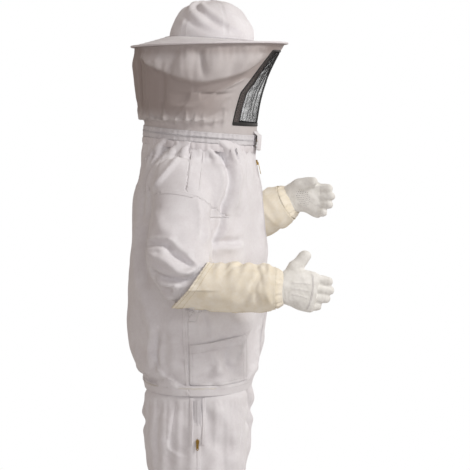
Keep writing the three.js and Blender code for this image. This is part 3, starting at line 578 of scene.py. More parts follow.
def pick(source: bpy.types.Object, name: str, chosen: Array) -> bpy.types.Object:
    """A new piece from the chosen faces of another."""
    piece = bpy.data.objects.new(name, source.data.copy())
    piece.data.name = name
    bpy.context.scene.collection.objects.link(piece)
    work = bmesh.new()
    work.from_mesh(piece.data)
    bmesh.ops.delete(work, geom=[f for f, keep in zip(list(work.faces), chosen) if not keep], context="FACES")
    work.to_mesh(piece.data)
    work.free()
    piece.data.shade_smooth()
    return piece


def face_centres(piece: bpy.types.Object) -> Array:
    """The middle of each face."""
    flat = np.empty(len(piece.data.polygons) * 3)
    piece.data.polygons.foreach_get("center", flat)
    return flat.reshape(-1, 3)


def thicken(piece: bpy.types.Object, wall: float) -> bpy.types.Object:
    """Gives a cloth skin its thickness inwards."""
    solid = piece.modifiers.new("cloth", "SOLIDIFY")
    solid.thickness = wall
    solid.offset = -1
    piece.data.shade_smooth()
    return piece


@dataclass
class Drape:
    """A short cloth simulation that buckles slack cloth between its sewn edges.

    Attributes:
        slack: how much longer the cloth is than its shape, as a share.
        swell: the air pressure that holds it off the body.
        cap: the furthest that a point may move, in metres.
        weight: the share of gravity that acts.
        frames: how many steps run.
        stiff: the bending stiffness.
    """

    slack: float = 0.05
    swell: float = 1.0
    cap: float = 14 * MM
    weight: float = 0.15
    frames: int = 20
    stiff: float = 0.4

    def run(self, piece: bpy.types.Object, held: Array, seed: int) -> None:
        """Runs the simulation and writes its last shape into the mesh.

        Args:
            piece: the cloth.
            held: from 0, free, to 1, sewn down, for each point.
            seed: of the half-millimetre unevenness that the buckles grow from.
        """
        before = points_of(piece)
        start = before + normals_of(piece) * (ripple(before, seed, 0.05) * 0.6 * MM * (1 - held))[:, None]
        set_points(piece, start)
        group = piece.vertex_groups.new(name="sewn")
        group.add(np.nonzero(held > 0.5)[0].tolist(), 1.0, "REPLACE")
        cloth = piece.modifiers.new("drape", "CLOTH")
        s = cloth.settings
        s.quality = 4
        s.mass = 0.25
        s.tension_stiffness = s.compression_stiffness = 12
        s.shear_stiffness = 6
        s.bending_stiffness = self.stiff
        s.vertex_group_mass = "sewn"
        s.shrink_min = -self.slack
        s.use_pressure = True
        s.uniform_pressure_force = self.swell
        s.effector_weights.gravity = self.weight
        cloth.collision_settings.use_collision = False
        cloth.collision_settings.use_self_collision = False
        scene = bpy.context.scene
        scene.frame_start, scene.frame_end = 1, self.frames
        cloth.point_cache.frame_start, cloth.point_cache.frame_end = 1, self.frames
        for step in range(1, self.frames + 1):
            scene.frame_set(step)
        graph = bpy.context.evaluated_depsgraph_get()
        after = np.empty(len(before) * 3)
        piece.evaluated_get(graph).data.vertices.foreach_get("co", after)
        piece.modifiers.clear()
        piece.vertex_groups.clear()
        move = after.reshape(-1, 3) - before
        far = np.linalg.norm(move, axis=1, keepdims=True)
        move *= (
            np.minimum(1, self.cap * np.tanh(far / self.cap) / np.maximum(far, 1e-9)) * (1 - held[:, None])
        )
        set_points(piece, before + move)
        scene.frame_set(1)


def refine(piece: bpy.types.Object) -> None:
    """Splits every face in four with one round of subdivision."""
    finer = piece.modifiers.new("finer", "SUBSURF")
    finer.levels = finer.render_levels = 1
    apply_modifiers(piece)


# ---------------------------------------------------------------- folds


class Shape(Enum):
    """A fold's section."""

    RIDGE = "ridge"
    VALLEY = "valley"
    STEP = "step"


@dataclass(frozen=True)
class Fold:
    """A crease drawn on one side of the suit.

    Attributes:
        path: its points in millimetres: (y, z) seen from the side, or (x, z) seen from front or back.
        width: half its width in millimetres.
        height: its height in millimetres.
        shape: a ridge, a valley with two soft lips, or a step that is steep on its right.
    """

    path: tuple[tuple[float, float], ...]
    width: float
    height: float
    shape: Shape = Shape.RIDGE

    def lift(self, a: Array, z: Array) -> Array:
        """How far it raises each point.

        The distance d to the path sets the height: exp(-d^2) for a ridge; -exp(-d^2) + 0.45 exp(-(|d| - 1.7)^2) for
        a valley; exp(-d) on the left and exp(-(3.5 d)^2) on the right for a step, with d in half widths. It fades
        over the last fifth at each end.
        """
        line = along(flow(self.path, 40) * MM, 4 * MM)
        p = np.stack([a, z], -1)
        start, way = line[:-1], np.diff(line, axis=0)
        best = np.full(len(p), np.inf)
        share = np.zeros(len(p))
        for k, (s, w) in enumerate(zip(start, way)):
            t = np.clip(((p - s) @ w) / (w @ w), 0, 1)
            off = p - s - t[:, None] * w
            d = np.hypot(off[:, 0], off[:, 1])
            turn = np.where(w[0] * off[:, 1] - w[1] * off[:, 0] >= 0, 1.0, -1.0)
            closer = d < np.abs(best)
            best = np.where(closer, d * turn, best)
            share = np.where(closer, (k + t) / len(way), share)
        d = best / (self.width * MM)
        if self.shape is Shape.RIDGE:
            form = np.exp(-(d**2))
        elif self.shape is Shape.VALLEY:
            form = -np.exp(-(d**2)) + 0.45 * np.exp(-((np.abs(d) - 1.7) ** 2))
        else:
            form = np.where(d > 0, np.exp(-np.maximum(d, 0)), np.exp(-((3.5 * np.minimum(d, 0)) ** 2)))
        fade = smooth(share, 0, 0.2) * (1 - smooth(share, 0.8, 1))
        return self.height * MM * form * (0.25 + 0.75 * fade) * np.where((share <= 0) | (share >= 1), fade, 1)


def crease(
    piece: bpy.types.Object, folds: Sequence[Fold], side: str, keep: Callable[[Array], Array] | None = None
) -> None:
    """Raises folds on a piece along its own normals.

    Args:
        piece: the cloth.
        folds: the folds.
        side: "side" for folds seen from the right or left, "face" for those seen from front or back.
        keep: how strongly each point takes them; all fully if None.
    """
    p, n = points_of(piece), normals_of(piece)
    lift = np.zeros(len(p))
    facing = np.abs(n[:, 0] if side == "side" else n[:, 1])
    for fold in folds:
        a = p[:, 1] if side == "side" else p[:, 0]
        lift += fold.lift(a, p[:, 2])
    lift *= smooth(facing, 0.15, 0.6)
    if keep is not None:
        lift *= keep(p)
    set_points(piece, p + n * lift[:, None])


# ---------------------------------------------------------------- sewing


class Sewer:
    """Lays seams, tapes and stitches on a finished skin."""

    def __init__(self, skins: Sequence[bpy.types.Object]) -> None:
        """Builds the search tree of one or more skins."""
        points, faces, count = [], [], 0
        for skin in skins:
            p = points_of(skin)
            corners = np.array(
                [
                    list(f.vertices)[:4] + [f.vertices[-1]] * (4 - len(f.vertices))
                    for f in skin.data.polygons
                ]
            )
            points.append(p)
            faces.append(corners + count)
            count += len(p)
        quads = np.concatenate(faces)
        halves = np.concatenate([quads[:, [0, 1, 2]], quads[:, [0, 2, 3]]])
        halves = halves[(halves[:, 0] != halves[:, 2]) & (halves[:, 1] != halves[:, 2])]
        self.tree = BVHTree.FromPolygons(np.concatenate(points).tolist(), halves.tolist())

    def lay(self, path: Array, way: Array, step: float = 3 * MM) -> tuple[Array, Array]:
        """Drops a path onto the skin.

        Args:
            path: points outside the skin, in metres.
            way: the direction they fall in.
            step: the spacing of the result.

        Returns:
            The points where they land and the skin's normals there.
        """
        hits = [self.tree.ray_cast(Vector(p), Vector(way)) for p in along(path, step)]
        found = [(h[0], h[1]) for h in hits if h[0] is not None]
        if len(found) < 3:
            return np.zeros((0, 3)), np.zeros((0, 3))
        p, n = (np.array(x) for x in zip(*found))
        return even(p), even(unit(n * np.where((n @ np.asarray(way)) > 0, -1, 1)[:, None]), True)

    def snap(self, path: Array, step: float = 3 * MM) -> tuple[Array, Array]:
        """Moves a path to the nearest points of the skin, and returns them with normals that point outwards."""
        line = along(path, step)
        hits = [self.tree.find_nearest(Vector(p)) for p in line]
        p, n = np.array([h[0] for h in hits]), np.array([h[1] for h in hits])
        return p, unit(n)


def ribbon(points: Array, normals: Array, width: float, thick: float) -> tuple[Array, Array]:
    """A flat tape with soft edges along a path: its section is six points, thinner at both sides.

    Returns:
        The points and quads of the closed section's sweep.
    """
    way = unit(np.gradient(points, axis=0))
    across = unit(np.cross(normals, way))
    section = np.array([[-0.5, -0.3], [-0.5, 0.3], [-0.36, 1], [0.36, 1], [0.5, 0.3], [0.5, -0.3]])
    rings = points[:, None] + across[:, None] * (section[:, 0] * width)[None, :, None]
    rings = rings + normals[:, None] * (section[:, 1] * thick)[None, :, None]
    return rings.reshape(-1, 3), grid_faces(len(points), 6, False, True)


def stitch(
    points: Array, normals: Array, pitch: float = 4.2 * MM, long: float = 3.0 * MM, wide: float = 0.9 * MM
) -> tuple[Array, Array]:
    """Short raised stitches, evenly spaced along a path: each is a tapered block of eight points."""
    gone = np.concatenate([[0], np.cumsum(np.linalg.norm(np.diff(points, axis=0), axis=1))])
    at = np.arange(pitch / 2, gone[-1], pitch)
    centre = np.stack([np.interp(at, gone, points[:, k]) for k in range(3)], 1)
    up = unit(np.stack([np.interp(at, gone, normals[:, k]) for k in range(3)], 1))
    way = unit(np.stack([np.interp(at, gone, np.gradient(points[:, k])) for k in range(3)], 1))
    across = unit(np.cross(up, way))
    corner = np.array(
        [
            [-1, -1, 0], [1, -1, 0], [1, 1, 0], [-1, 1, 0], [-0.6, -0.6, 1], [0.6, -0.6, 1], [0.6, 0.6, 1],
            [-0.6, 0.6, 1],
        ]
    )
    p = centre[:, None] + way[:, None] * (corner[:, 0] * long / 2)[None, :, None]
    p = (
        p + across[:, None] * (corner[:, 1] * wide / 2)[None, :, None]
        + up[:, None] * ((corner[:, 2] - 0.2) * wide * 0.8)[None, :, None]
    )
    quad = np.array([[0, 3, 2, 1], [4, 5, 6, 7], [0, 1, 5, 4], [1, 2, 6, 5], [2, 3, 7, 6], [3, 0, 4, 7]])
    return p.reshape(-1, 3), (quad[None] + 8 * np.arange(len(at))[:, None, None]).reshape(-1, 4)


def gather(name: str, parts: Sequence[tuple[Array, Array]]) -> bpy.types.Object:
    """One piece from several lots of points and quads."""
    points, faces, count = [], [], 0
    for p, f in parts:
        if len(p):
            points.append(p)
            faces.append(f + count)
            count += len(p)
    return tidy(raw_mesh(name, np.concatenate(points), np.concatenate(faces)))


def seam(
    points: Array, normals: Array, rows: Sequence[float], lift: float = 0.5 * MM, pitch: float = 4.2 * MM
) -> list[tuple[Array, Array]]:
    """Rows of stitches beside a path, each at its own distance across it."""
    way = unit(np.gradient(points, axis=0))
    across = unit(np.cross(normals, way))
    return [stitch(points + across * row + normals * lift, normals, pitch) for row in rows]


class Maker:
    """A sub-assembly: its pieces ride on its own body unless another is named."""

    body: str = ""

    def own(
        self, piece: bpy.types.Object, finish: Finish, slot: str, *nodes: str, body: str = ""
    ) -> bpy.types.Object:
        """Finishes a piece and gives it its place in the suit.

        Args:
            piece: the finished mesh.
            finish: its material.
            slot: the record's material slot; not used.
            nodes: the nodes that it stands for and hides.
            body: the body that it rides on, if not the sub-assembly's own.

        Returns:
            The same piece.
        """
        DRESS.dress(piece, finish)
        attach(piece, body or self.body)
        if nodes:
            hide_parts(*nodes)
        return piece


# ---------------------------------------------------------------- the suit's outline

NECK_RADIUS, NECK_TILT, COLLAR = 145 * MM, math.radians(5), 34 * MM
ARC_RADIUS, ARC_DEPTH, ARC_MIDDLE = 1280 * MM, 173 * MM, -336 * MM
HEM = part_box("jacket_back")[0][2]
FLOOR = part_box("trouser_leg_left")[0][2]
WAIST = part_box("waistband")[1][2]
TURN = circle(96)


def neck_ring(height: float, inset: float, turn: Array = TURN) -> Array:
    """A circle round the neck's axis, which leans forwards: x and y turn with the angle, and the ring is then tilted."""
    radius = NECK_RADIUS - inset
    x, y, z = radius * np.cos(turn), radius * np.sin(turn), np.full_like(turn, height)
    c, s = math.cos(NECK_TILT), math.sin(NECK_TILT)
    return np.stack([x, y * c - z * s, y * s + z * c], -1)


def oval(x: float, y: float, z: float, wide: float, deep: float, power: float, turn: Array = TURN) -> Array:
    """A superellipse: cosine and sine each raised to 2 / power, which squares its corners a little."""
    c, s = np.cos(turn), np.sin(turn)
    grow = 2 / power
    return np.stack(
        [
            x + wide * np.sign(c) * np.abs(c) ** grow,
            y + deep * np.sign(s) * np.abs(s) ** grow,
            np.full_like(turn, z),
        ], -1
    )


def front_line(z: Array) -> Array:
    """The front's y at a height: it bows out along a circle whose axis lies behind the suit."""
    return ARC_RADIUS - ARC_DEPTH - np.sqrt(ARC_RADIUS**2 - (z - ARC_MIDDLE) ** 2)


JACKET_WIDTH = profile(
    [
        (-34, 145), (-52, 176), (-80, 194), (-125, 203), (-250, 205), (-450, 208), (-560, 205),
        (-615, 196), (-645, 190),
    ]
)
JACKET_BACK = profile(
    [
        (-34, 145), (-70, 156), (-125, 172), (-200, 184), (-330, 188), (-460, 182), (-570, 170),
        (-610, 153), (-645, 143),
    ]
)


def jacket_ring(z: float, inset: float = 0.0, turn: Array = TURN) -> Array:
    """The jacket's section: the collar's circle above, a rounded box below, and a smooth blend between."""
    merge = smooth(-z, COLLAR, 63 * MM)
    front, back = float(front_line(z)), float(JACKET_BACK(z))
    body = oval(
        0, (front + back) / 2, z, float(JACKET_WIDTH(z)) - inset, (back - front) / 2 - inset, 2.35, turn
    )
    return neck_ring(z, inset, turn) * (1 - merge) + body * merge


@dataclass
class Arm:
    """An arm's path from shoulder to wrist, with a round bend at the elbow.

    Attributes:
        side: 1 for the wearer's left, -1 for the right.
        elbow: where its two straight runs would meet.
        upper: the direction from the elbow to the shoulder.
    """

    side: int
    elbow: Array
    upper: Array
    root: Array = field(init=False)
    wrist: Array = field(init=False)
    reach: Array = field(init=False)
    line: Array = field(init=False)
    straight: float = field(init=False)
    bend: float = field(init=False)

    def __post_init__(self) -> None:
        """Works out the path: a cubic at the shoulder, an arc of 85 mm at the elbow, and a straight run to the wrist."""
        name = "glove_off_left" if self.side > 0 else "glove_off_right"
        joint = next(j for j in frame["joints"] if j["name"] == name)
        self.wrist = np.array(joint["pos_m"])
        self.reach = unit(self.wrist - self.elbow)
        self.upper = unit(self.upper)
        self.root = np.array([self.side * 0.14, 0.032, -0.088])
        radius = 85 * MM
        half = math.acos(float(self.upper @ self.reach)) / 2
        tangent = radius / math.tan(half)
        middle = self.elbow + unit(self.upper + self.reach) * radius / math.sin(half)
        start, end = self.elbow + self.upper * tangent, self.elbow + self.reach * tangent
        t = np.linspace(0, 1, 40)[:, None]
        k = [self.root, self.root + [self.side * 0.038, 0, -0.022], start + self.upper * 0.045, start]
        shoulder = k[0] * (1 - t) ** 3 + 3 * k[1] * t * (1 - t) ** 2 + 3 * k[2] * t**2 * (1 - t) + k[3] * t**3
        turn = t * (np.pi - 2 * half)
        arc = middle + unit(start - middle) * radius * np.cos(turn) - self.upper * radius * np.sin(turn)
        self.line = np.concatenate([shoulder, arc[1:], end + (self.wrist - end) * t[1:]])
        self.straight = float(np.linalg.norm(self.wrist - end))
        self.bend = radius * (np.pi - 2 * half)

    def place(self, back: Array) -> tuple[Array, Array]:
        """The centre and direction at distances back from the wrist."""
        gone = np.concatenate([[0], np.cumsum(np.linalg.norm(np.diff(self.line, axis=0), axis=1))])
        at = gone[-1] - np.asarray(back, float)
        centre = np.stack([np.interp(at, gone, self.line[:, k]) for k in range(3)], -1)
        ahead = np.stack([np.interp(at + 2 * MM, gone, self.line[:, k]) for k in range(3)], -1)
        behind = np.stack([np.interp(at - 2 * MM, gone, self.line[:, k]) for k in range(3)], -1)
        centre = centre + self.reach * np.maximum(-np.asarray(back, float), 0)[..., None]
        return centre, unit(ahead - behind + self.reach * 1e-9)

    def rings(self, back: Array, inset: float, turn: Array = TURN) -> Array:
        """The sleeve's sections: ovals whose half sizes grow from the cuff to the forearm and again past the elbow."""
        centre, way = self.place(back)
        across = unit(np.array([1.0, 0, 0]) - way * way[..., :1])
        other = np.cross(way, across)
        cuff = smooth(back, 32 * MM, 56 * MM)
        elbow = smooth(back, self.straight, self.straight + self.bend)
        base = 44 * MM + 8 * MM * cuff
        wide, deep = base + (62 * MM - base) * elbow - inset, base + (79 * MM - base) * elbow - inset
        ring = (
            across[:, None] * (wide[:, None] * np.cos(turn))[..., None]
            + other[:, None] * (deep[:, None] * np.sin(turn))[..., None]
        )
        return centre[:, None] + ring


RIGHT = Arm(-1, np.array([-0.275, 0.035, -0.362]), np.array([0.3, 0, 0.95]))
LEFT = Arm(1, np.array([0.287, 0.056, -0.336]), np.array([-0.36, -0.1, 0.93]))
ARMS = {"right": RIGHT, "left": LEFT}


# ---------------------------------------------------------------- jacket


@dataclass
class Jacket(Maker):
    """The jacket: one draped skin, split at its seams, with pockets, tapes and stitching.

    Attributes:
        voxel: the skin's cell before it is refined.
        wall: the cloth's thickness.
        folds: the folds on the body.
        arm_folds: the folds on the sleeves.
    """

    body = "jacket"
    voxel: float = 9 * MM
    wall: float = 1.2 * MM
    folds: tuple[Fold, ...] = (
        # from the neck down over the shoulder and back
        Fold(((10, -12), (38, -55), (65, -90), (115, -150)), 14, 11, Shape.STEP),
        Fold(((52, -8), (98, -52), (122, -88), (132, -142)), 9, 11, Shape.VALLEY),
        Fold(((75, -12), (112, -60), (138, -110)), 10, 7, Shape.RIDGE),
        Fold(((105, -60), (126, -100), (136, -172), (138, -230)), 10, 10, Shape.VALLEY),
        Fold(((-35, -10), (-66, -45), (-90, -95), (-86, -140), (-70, -190)), 9, 14, Shape.VALLEY),
        Fold(((-62, -8), (-92, -40), (-104, -90), (-102, -140), (-106, -195)), 12, 9, Shape.RIDGE),
        Fold(((-88, -20), (-115, -60), (-128, -120)), 12, 5, Shape.RIDGE),
        # the armhole's front and the drag to the underarm
        Fold(((-76, -150), (-68, -215), (-42, -266)), 10, 12, Shape.VALLEY),
        Fold(((-38, -264), (-70, -258), (-100, -260), (-122, -254)), 8, 8, Shape.VALLEY),
        Fold(((-44, -286), (-80, -276), (-112, -281)), 11, 6, Shape.RIDGE),
        Fold(((-118, -262), (-122, -300), (-116, -330)), 8, 6, Shape.STEP),
        # the body below the arm
        Fold(((125, -370), (116, -440), (86, -505)), 16, 9, Shape.RIDGE),
        Fold(((86, -470), (98, -530), (96, -585)), 9, 10, Shape.VALLEY),
        Fold(((62, -450), (48, -520), (56, -590)), 14, 7, Shape.RIDGE),
        Fold(((-20, -425), (-34, -470), (-30, -500)), 9, 7, Shape.VALLEY),
        Fold(((-60, -420), (-100, -455), (-135, -470)), 16, 7, Shape.RIDGE),
        Fold(((-40, -525), (-60, -560), (-52, -600)), 10, 7, Shape.RIDGE),
        Fold(((-85, -515), (-78, -560), (-90, -605)), 9, 7, Shape.VALLEY),
        Fold(((-112, -520), (-108, -565), (-118, -600)), 10, 6, Shape.RIDGE),
        Fold(((118, -520), (84, -585), (40, -612)), 11, 8, Shape.STEP),
        Fold(((150, -200), (148, -320), (130, -420)), 18, 8, Shape.RIDGE),
        Fold(((120, -200), (128, -300), (118, -380)), 12, 9, Shape.VALLEY),
    )
    arm_folds: tuple[Fold, ...] = (
        # creases and crescents round the elbow
        Fold(((118, -262), (75, -255), (34, -260)), 7, 9, Shape.VALLEY),
        Fold(((62, -258), (25, -285), (-18, -312)), 10, 13, Shape.VALLEY),
        Fold(((112, -280), (65, -292), (10, -325), (-24, -308)), 9, 12, Shape.RIDGE),
        Fold(((115, -308), (70, -332), (5, -338), (-30, -312)), 8, 13, Shape.VALLEY),
        Fold(((118, -300), (98, -348), (72, -378), (32, -390)), 7, 10, Shape.RIDGE),
        Fold(((95, -335), (68, -362), (30, -366)), 8, 11, Shape.VALLEY),
        Fold(((24, -346), (42, -376)), 7, 8, Shape.RIDGE),
        # long soft folds on the upper arm
        Fold(((-14, -135), (-20, -185), (-18, -245)), 10, 8, Shape.STEP),
        Fold(((90, -175), (70, -215), (30, -240)), 16, 6, Shape.RIDGE),
        Fold(((-45, -160), (-44, -215), (-36, -262)), 10, 9, Shape.RIDGE),
        Fold(((104, -190), (112, -225), (104, -255)), 10, 7, Shape.STEP),
    )

    def skin(self) -> bpy.types.Object:
        """The trunk and both sleeves melted into one skin, cut open at neck, hem and cuffs, and draped."""
        heights = np.concatenate(
            [
                [20 * MM, -3 * MM],
                np.linspace(-COLLAR, -100 * MM, 8),
                np.linspace(-125 * MM, HEM + 30 * MM, 14),
            ]
        )
        heights = np.concatenate([heights, np.linspace(HEM + 20 * MM, HEM, 3), [HEM - 25 * MM]])
        trunk = np.stack([jacket_ring(z, 0.5 * MM) for z in heights])
        tubes = [trunk]
        for arm in ARMS.values():
            back = np.concatenate(
                [[-20 * MM], np.linspace(8 * MM, 60 * MM, 6), np.linspace(80 * MM, arm_length(arm), 34)]
            )
            tubes.append(arm.rings(back, 0.5 * MM, TURN[::2])[::-1])
        skin = melt("jacket_skin", tubes, self.voxel, 5)
        neck = neck_ring(-3 * MM, 0).mean(0)
        lean = np.array([0, -math.sin(NECK_TILT), math.cos(NECK_TILT)])
        cut(skin, neck, lean)
        cut(skin, [0, 0, HEM], [0, 0, -1])
        for arm in ARMS.values():
            end = arm.wrist - arm.reach * 12 * MM
            cut(skin, end, arm.reach, lambda c, e=end: np.linalg.norm(c - e, axis=1) < 0.075)
        p = points_of(skin)
        rim = 1 - smooth(np.abs(p[:, 2] - HEM), 12 * MM, 30 * MM)
        ring = 1 - smooth(-(p @ lean), 20 * MM, 50 * MM)
        cuffs = [1 - smooth(-((p - a.wrist) @ a.reach), 30 * MM, 80 * MM) for a in ARMS.values()]
        cuffs = [c * (np.linalg.norm(p - a.wrist, axis=1) < 0.12) for c, a in zip(cuffs, ARMS.values())]
        middle = (1 - smooth(np.abs(p[:, 0]), 12 * MM, 30 * MM)) * (p[:, 1] < -0.08)
        held = np.clip(np.max([rim, ring, middle, *cuffs], axis=0), 0, 1)
        Drape(slack=0.06, swell=0.9, cap=13 * MM, weight=0.25).run(skin, held, 11)
        refine(skin)
        return skin

    def build(self) -> None:
        """Makes the panels and everything sewn on them."""
        skin = self.skin()
        p = points_of(skin)
        soft = smooth(np.abs(p[:, 2] - HEM), 8 * MM, 40 * MM) * smooth(-p[:, 2], 20 * MM, 60 * MM)
        n = normals_of(skin)
        small = ripple(p, 3, 0.09) * 1.6 * MM + ripple(p, 4, 0.17) * 2.2 * MM
        around = np.arctan2(p[:, 1], p[:, 0])
        pleat = np.sin(34 * around + 2 * ripple(p, 6, 0.2)) + 0.6 * np.sin(53 * around)
        small += 1.8 * MM * pleat * (1 - smooth(-p[:, 2], 30 * MM, 85 * MM)) / np.maximum(soft, 0.25)
        set_points(skin, p + n * (small * soft)[:, None])
        on_arm = self.arm_share
        crease(
            skin,
            self.folds,
            "side",
            lambda q: (1 - on_arm(q)) * smooth(np.abs(q[:, 2] - HEM), 6 * MM, 30 * MM),
        )
        crease(skin, self.arm_folds, "side", on_arm)
        self.gauntlet_grip(skin)
        self.flatten_placket(skin)
        for x in (5, -5):
            cut(
                skin,
                [x * MM, 0, 0],
                [-x, 0, 0],
                lambda c: (np.abs(c[:, 0]) < 5.001 * MM) & (c[:, 1] < -0.05) & (c[:, 2] < -62 * MM),
            )
        centre = face_centres(skin)
        arm = {name: self.past_seam(centre, a) for name, a in ARMS.items()}
        body = ~(arm["left"] | arm["right"])
        back = centre[:, 1] > 12 * MM
        groups = {
            "jacket_back": (body & back, (0.54, 0.65)),
            "jacket_front_left": (body & ~back & (centre[:, 0] > 0), (0.33, 0.65)),
            "jacket_front_right": (body & ~back & (centre[:, 0] <= 0), (0.33, 0.65)),
            "sleeve_left": (arm["left"], (0.46, 0.52)),
            "sleeve_right": (arm["right"], (0.46, 0.52)),
        }
        sewer = Sewer([skin])
        for name, (chosen, flat) in groups.items():
            piece = thicken(pick(skin, f"cloth_{name}", chosen), self.wall)
            self.own(piece, TWILL, "white_cotton", name)
        bpy.data.objects.remove(skin)
        self.sew(sewer)
        self.hem_and_collar()

    def arm_share(self, p: Array) -> Array:
        """From 0 on the body to 1 on an arm below the shoulder."""
        out = smooth(np.abs(p[:, 0]), 200 * MM, 222 * MM)
        near = [
            1 - smooth(np.linalg.norm(p[:, 1:] - a.elbow[1:], axis=1), 170 * MM, 230 * MM)
            for a in ARMS.values()
        ]
        return out * np.maximum(*near) * smooth(-p[:, 2], 120 * MM, 170 * MM)

    @staticmethod
    def flatten_placket(skin: bpy.types.Object) -> None:
        """Presses the cloth beside the front zip back to the front's line, clear of the slider's path."""
        p = points_of(skin)
        beside = (
            (1 - smooth(np.abs(p[:, 0]), 9 * MM, 20 * MM)) * (p[:, 1] < -0.05)
            * smooth(-p[:, 2], 45 * MM, 75 * MM)
        )
        proud = np.minimum(p[:, 1] - front_line(p[:, 2]) - 0.5 * MM, 0)
        p[:, 1] -= proud * beside
        set_points(skin, p)

    def gauntlet_grip(self, skin: bpy.types.Object) -> None:
        """Draws the forearms in where the gauntlets hold them, to stay inside the canvas."""
        p = points_of(skin)
        for arm in ARMS.values():
            back = -((p - arm.wrist) @ arm.reach)
            foot = arm.wrist - back[:, None] * arm.reach
            out = p - foot
            size = np.linalg.norm(out, axis=1)
            inside = (size < 90 * MM) & (back > 0)
            mouth = 207 * MM - 43 * MM * out[:, 2] / np.maximum(size, 1e-9)
            limit = 50 * MM + 24 * MM * smooth(back, mouth - 22 * MM, mouth + 48 * MM)
            grip = (limit / np.maximum(size, 1e-9) - 1) * (1 - smooth(back, mouth + 8 * MM, mouth + 55 * MM))
            p = np.where((inside & (size > limit))[:, None], foot + out * (1 + grip)[:, None], p)
        set_points(skin, p)

    @staticmethod
    def past_seam(p: Array, arm: Arm) -> Array:
        """Which points lie on the sleeve's side of its dropped seam."""
        start, way = arm_seam(arm)
        near = np.linalg.norm(p[:, 1:] - arm.elbow[1:], axis=1) < 0.33
        outside = arm.side * p[:, 0] > 165 * MM + 40 * MM * smooth(-p[:, 2], 180 * MM, 280 * MM)
        inner = np.abs(p[:, 0]) - np.interp(-p[:, 2], [0.2, 0.3, 0.45], [0.2, 0.212, 0.212])
        back = -((p - arm.wrist) @ arm.reach)
        away = np.linalg.norm(p - arm.wrist + back[:, None] * arm.reach, axis=1)
        forearm = (away < 58 * MM) & (back > -20 * MM) & (back < arm.straight * 0.9)
        return forearm | (near & outside & ((p - start) @ way > 0) & ((inner > 0) | (p[:, 2] > -0.2)))

    def sew(self, sewer: Sewer) -> None:
        """Seam tapes, stitch rows and pockets."""
        tapes, rows = [], []
        for name, arm in ARMS.items():
            start, way = arm_seam(arm)
            around = np.linspace(-0.62, 0.98, 60) * -arm.side
            out = np.array([arm.side * 1.0, 0, 0])
            out = unit(out - way * (out @ way))
            other = np.cross(way, out)
            arc = start + out * 0.12 * np.cos(around)[:, None] + other * 0.12 * np.sin(around)[:, None]
            hits = [sewer.tree.ray_cast(Vector(q + unit(q - start) * 0.03), Vector(start - q)) for q in arc]
            found = [(h[0], h[1]) for h in hits if h[0] is not None]
            q, m = np.array([h[0] for h in found]), unit(np.array([h[1] for h in found]))
            m *= np.sign(np.sum(m * (q - start), axis=1))[:, None]
            q, m = even(along(q, 3 * MM)), even(m, True)
            m = unit(
                np.stack(
                    [
                        np.interp(np.linspace(0, 1, len(q)), np.linspace(0, 1, len(m)), m[:, k])
                        for k in range(3)
                    ],
                    1,
                )
            )
            tapes.append(ribbon(q, m, 11 * MM, 0.9 * MM))
            rows += seam(q, m, (-4 * MM, 4 * MM), 0.8 * MM)
            x = arm.side * 0.6
            side_way = [-arm.side, 0, 0]
            # the side seam with its flat fell, and the yoke seam from the neck to the sleeve
            for path, wide in (
                (((x, 0.020, -0.36), (x, 0.022, -0.48), (x, 0.016, -0.60), (x, 0.014, HEM + 3 * MM)), 9 * MM),
                (((x, 0.006, -0.037), (x, 0.006, -0.075), (x, 0.008, -0.122)), 5 * MM),
                (((x, -0.022, -0.037), (x, -0.021, -0.080), (x, -0.019, -0.130)), 5 * MM),
            ):
                a, b = sewer.lay(flow(path, 30), side_way)
                if len(a):
                    tapes.append(ribbon(a, b, wide, 0.8 * MM))
                    rows += seam(a, b, (-wide * 0.38, wide * 0.38), 0.7 * MM)
            hem = np.stack([np.full(80, x), np.linspace(-0.115, 0.125, 80), np.full(80, HEM + 18 * MM)], 1)
            a, b = sewer.lay(hem, side_way)
            rows += seam(a, b, (0.0,), 0.3 * MM)
            self.pocket(sewer, arm.side)
        for y in (-0.6, 0.6):
            across = np.stack([np.linspace(-0.16, 0.16, 90), np.full(90, y), np.full(90, HEM + 18 * MM)], 1)
            a, b = sewer.lay(across, [0, -np.sign(y), 0])
            rows += seam(a, b, (0.0,), 0.3 * MM)
        for x in (-0.6, 0.6):
            down = np.stack(
                [
                    np.full(90, np.sign(x) * 12 * MM),
                    np.full(90, -0.6),
                    np.linspace(-0.07, HEM + 20 * MM, 90),
                ],
                1,
            )
            a, b = sewer.lay(down, [0, 1, 0])
            rows += seam(a, b, (-3 * MM, 3 * MM), 0.3 * MM)
        yoke = np.stack([np.linspace(-0.165, 0.165, 90), np.full(90, 0.6), np.full(90, -0.13)], 1)
        a, b = sewer.lay(yoke, [0, -1, 0])
        tapes.append(ribbon(a, b, 9 * MM, 0.8 * MM))
        rows += seam(a, b, (-3 * MM, 3 * MM), 0.7 * MM)
        self.own(gather("jacket_seams", tapes), TWILL, "white_cotton")
        self.own(gather("jacket_stitches", rows), THREAD, "white_binding")

